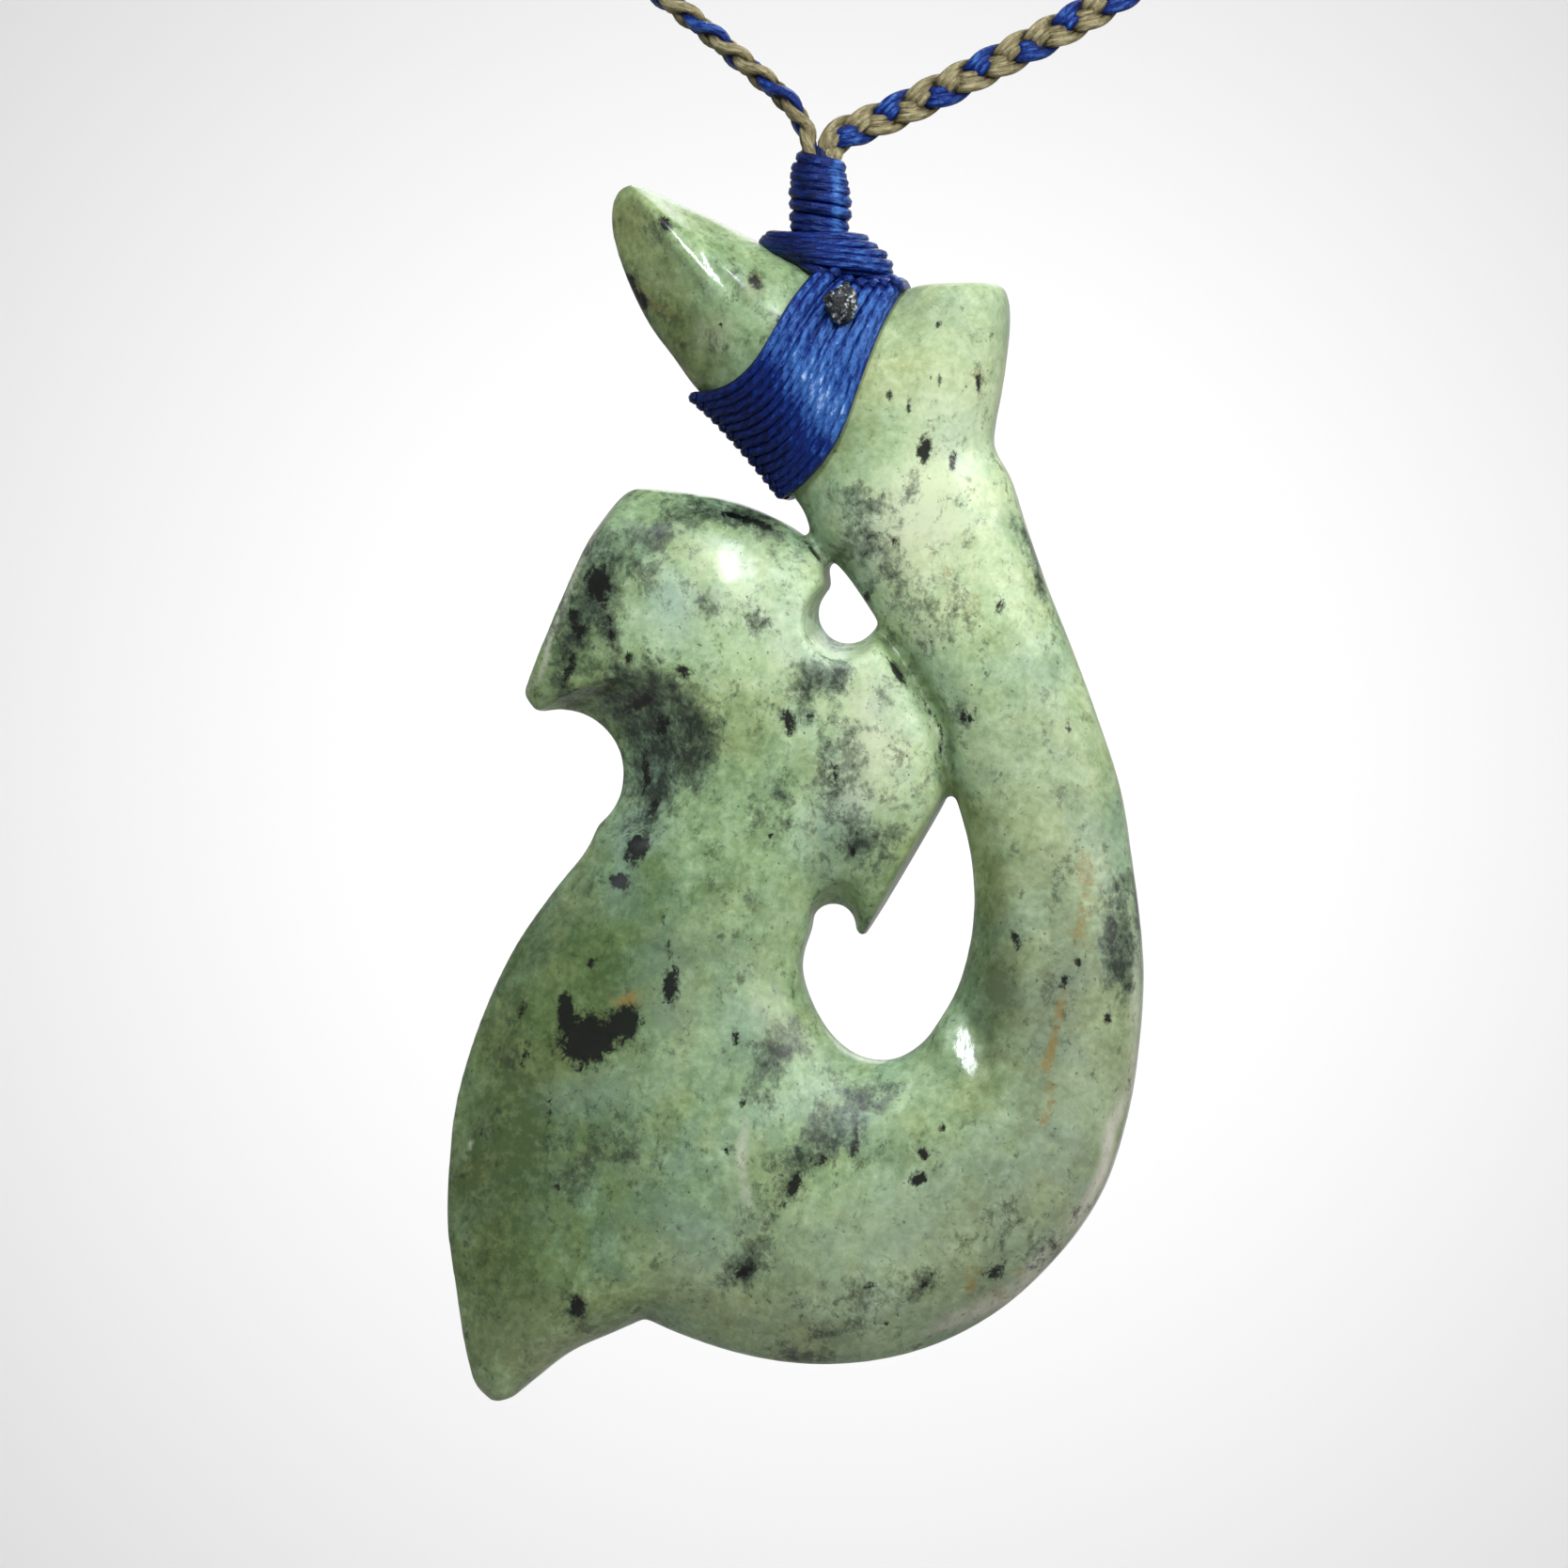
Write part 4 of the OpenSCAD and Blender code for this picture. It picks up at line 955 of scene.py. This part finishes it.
def loop_line():
    """Points along the middle of the loop, evenly spaced, with the plait's half width at each, and how far on."""
    fine = 40
    dense = [row_at(BRAID_ROUTE, i / fine) for i in range(fine * (len(BRAID_ROUTE) - 1) + 1)]
    # both ends run down into the column
    rows = np.array([(-0.55, 0, -1.6, 0.5)] + dense + [(0.55, 0, -1.6, 0.5)], float)
    gone = np.concatenate([[0], np.cumsum(np.linalg.norm(np.diff(rows[:, :3], axis=0), axis=1))])
    count = round(gone[-1] / PLAIT_PERIOD * POINTS_PER_PERIOD)
    even = np.linspace(0, gone[-1], count + 1)
    return np.stack([np.interp(even, gone, rows[:, c]) for c in range(4)], 1), even


def unit(ways):
    """Each way with a length of 1."""
    return ways / np.linalg.norm(ways, axis=1, keepdims=True)


def plait():
    """The three strands, each of three threads."""
    rows, gone = loop_line()
    middle = rows[:, :3]
    scale = rows[:, 3:] / PLAIT_HALF
    way = unit(np.gradient(middle, axis=0))
    up = np.clip((np.minimum(gone, gone[-1] - gone) - FORWARD_UP_TO) / TURNED_OVER, 0, 1)[:, None]
    flat = unit(np.cross(way, up * LOOP_NORMAL + (1 - up) * FORWARD))
    face = np.cross(flat, way)
    turn = EDGE_ON * (1 - np.clip(gone / gone[-1] * 1.25, 0, 1))[:, None]
    wide = flat * np.cos(turn) + face * np.sin(turn)
    thick = face * np.cos(turn) - flat * np.sin(turn)
    tree = finder(middle)

    def crowns(places):
        """Painted light on top of the lobes, and painted shade in the grooves between them."""
        near = np.array([tree.find(place)[1] for place in places])
        away = places - middle[near]
        across = np.sum(away * wide[near], axis=1) / (PLAIT_REACH + STRAND_STEP + STRAND_THREAD_R)
        high = np.sum(away * thick[near], axis=1) / (STRAND_THREAD_R - PLAIT_LIFT)
        return painted_groove_shade(np.hypot(across, high) / scale[near, 0], *PLAIT_GROOVE_SHADE)

    for k, (name, slot, wax) in enumerate(PLAIT_STRANDS):
        phase = 2 * math.pi * ((gone - gone[-1]) / PLAIT_PERIOD + k / 3) + math.radians(PLAIT_START)
        phase = phase[:, None]
        centre = middle + scale * (wide * PLAIT_REACH * np.sin(phase) + thick * PLAIT_LIFT * np.sin(2 * phase))
        side = unit(np.cross(thick, unit(np.gradient(centre, axis=0))))
        # the threads draw together where the plait narrows
        lines = [centre + side * STRAND_STEP * step * (0.55 + 0.45 * scale) for step in (-1, 0, 1)]
        bundle(name, [thread([Vector(p) for p in line], STRAND_THREAD_R) for line in lines], wax,
               "neck_braid", PLAIT_TONE_AND_SHADE, crowns)


plait()

# ---- floor, light


def sweep():
    """Floor 1.45 m under the nape that curves up into a wall behind the piece."""
    bm = bmesh.new()
    curve = [(3.2 + 0.8 * math.sin(a), -0.65 - 0.8 * math.cos(a)) for a in np.linspace(0, math.pi / 2, 12)]
    rail = [bm.verts.new((-6.0, y, z)) for y, z in [(-6.0, -1.45)] + curve + [(4.0, 4.0)]]
    edges = [bm.edges.new(pair) for pair in zip(rail, rail[1:])]
    made = bmesh.ops.extrude_edge_only(bm, edges=edges)
    bmesh.ops.translate(bm, vec=(12, 0, 0), verts=[v for v in made["geom"] if isinstance(v, bmesh.types.BMVert)])
    bmesh.ops.recalc_face_normals(bm, faces=bm.faces)
    mesh = mesh_of(bm)
    mesh.materials.append(paper)
    mesh.shade_smooth()
    placed("paper_sweep", mesh)


sweep()


def soft_light(name, place, aim, size, power, colour="#ffffff"):
    """Rectangular softbox that faces a point."""
    data = bpy.data.lights.new(name, "AREA")
    data.shape = "RECTANGLE"
    data.size, data.size_y = size
    data.energy = power
    data.color = srgb(colour)[:3]
    made = placed(name, data)
    made.location = place
    made.rotation_euler = (aim - Vector(place)).to_track_quat("-Z", "Y").to_euler()


soft_light("key_light", round_the_stone(*KEY), view_at, (0.05, 0.07), 0.95, "#f0f5ff")
soft_light("window_light", round_the_stone(-40, 45, 0.8), view_at, (0.5, 0.6), 1.2, "#e8f1ff")
soft_light("side_light", round_the_stone(50, 32, 0.9), view_at, (0.8, 0.8), 6.6)
soft_light("back_light", round_the_stone(165, 35, 1.0), view_at, (0.6, 0.6), 2.5)
# the wall is brightest straight behind the stone and falls off to the corners
wall_middle = view_at + Vector((-math.sin(VIEW_TURN), math.cos(VIEW_TURN), 0)) * (4.0 - view_at.y)
soft_light("wall_light", wall_middle + Vector((0.03, -0.7, 0.03)), wall_middle, (0.2, 0.2), 4.1)
soft_light("wall_fill", wall_middle + Vector((0, -1.6, 0)), wall_middle, (0.4, 0.4), 2.5)

world = bpy.data.worlds.new("studio")
world.use_nodes = True
world.node_tree.nodes["Background"].inputs[0].default_value = srgb("#f4f4f4")
world.node_tree.nodes["Background"].inputs[1].default_value = 0.32
bpy.context.scene.world = world
bpy.context.scene.view_settings.view_transform = "Standard"
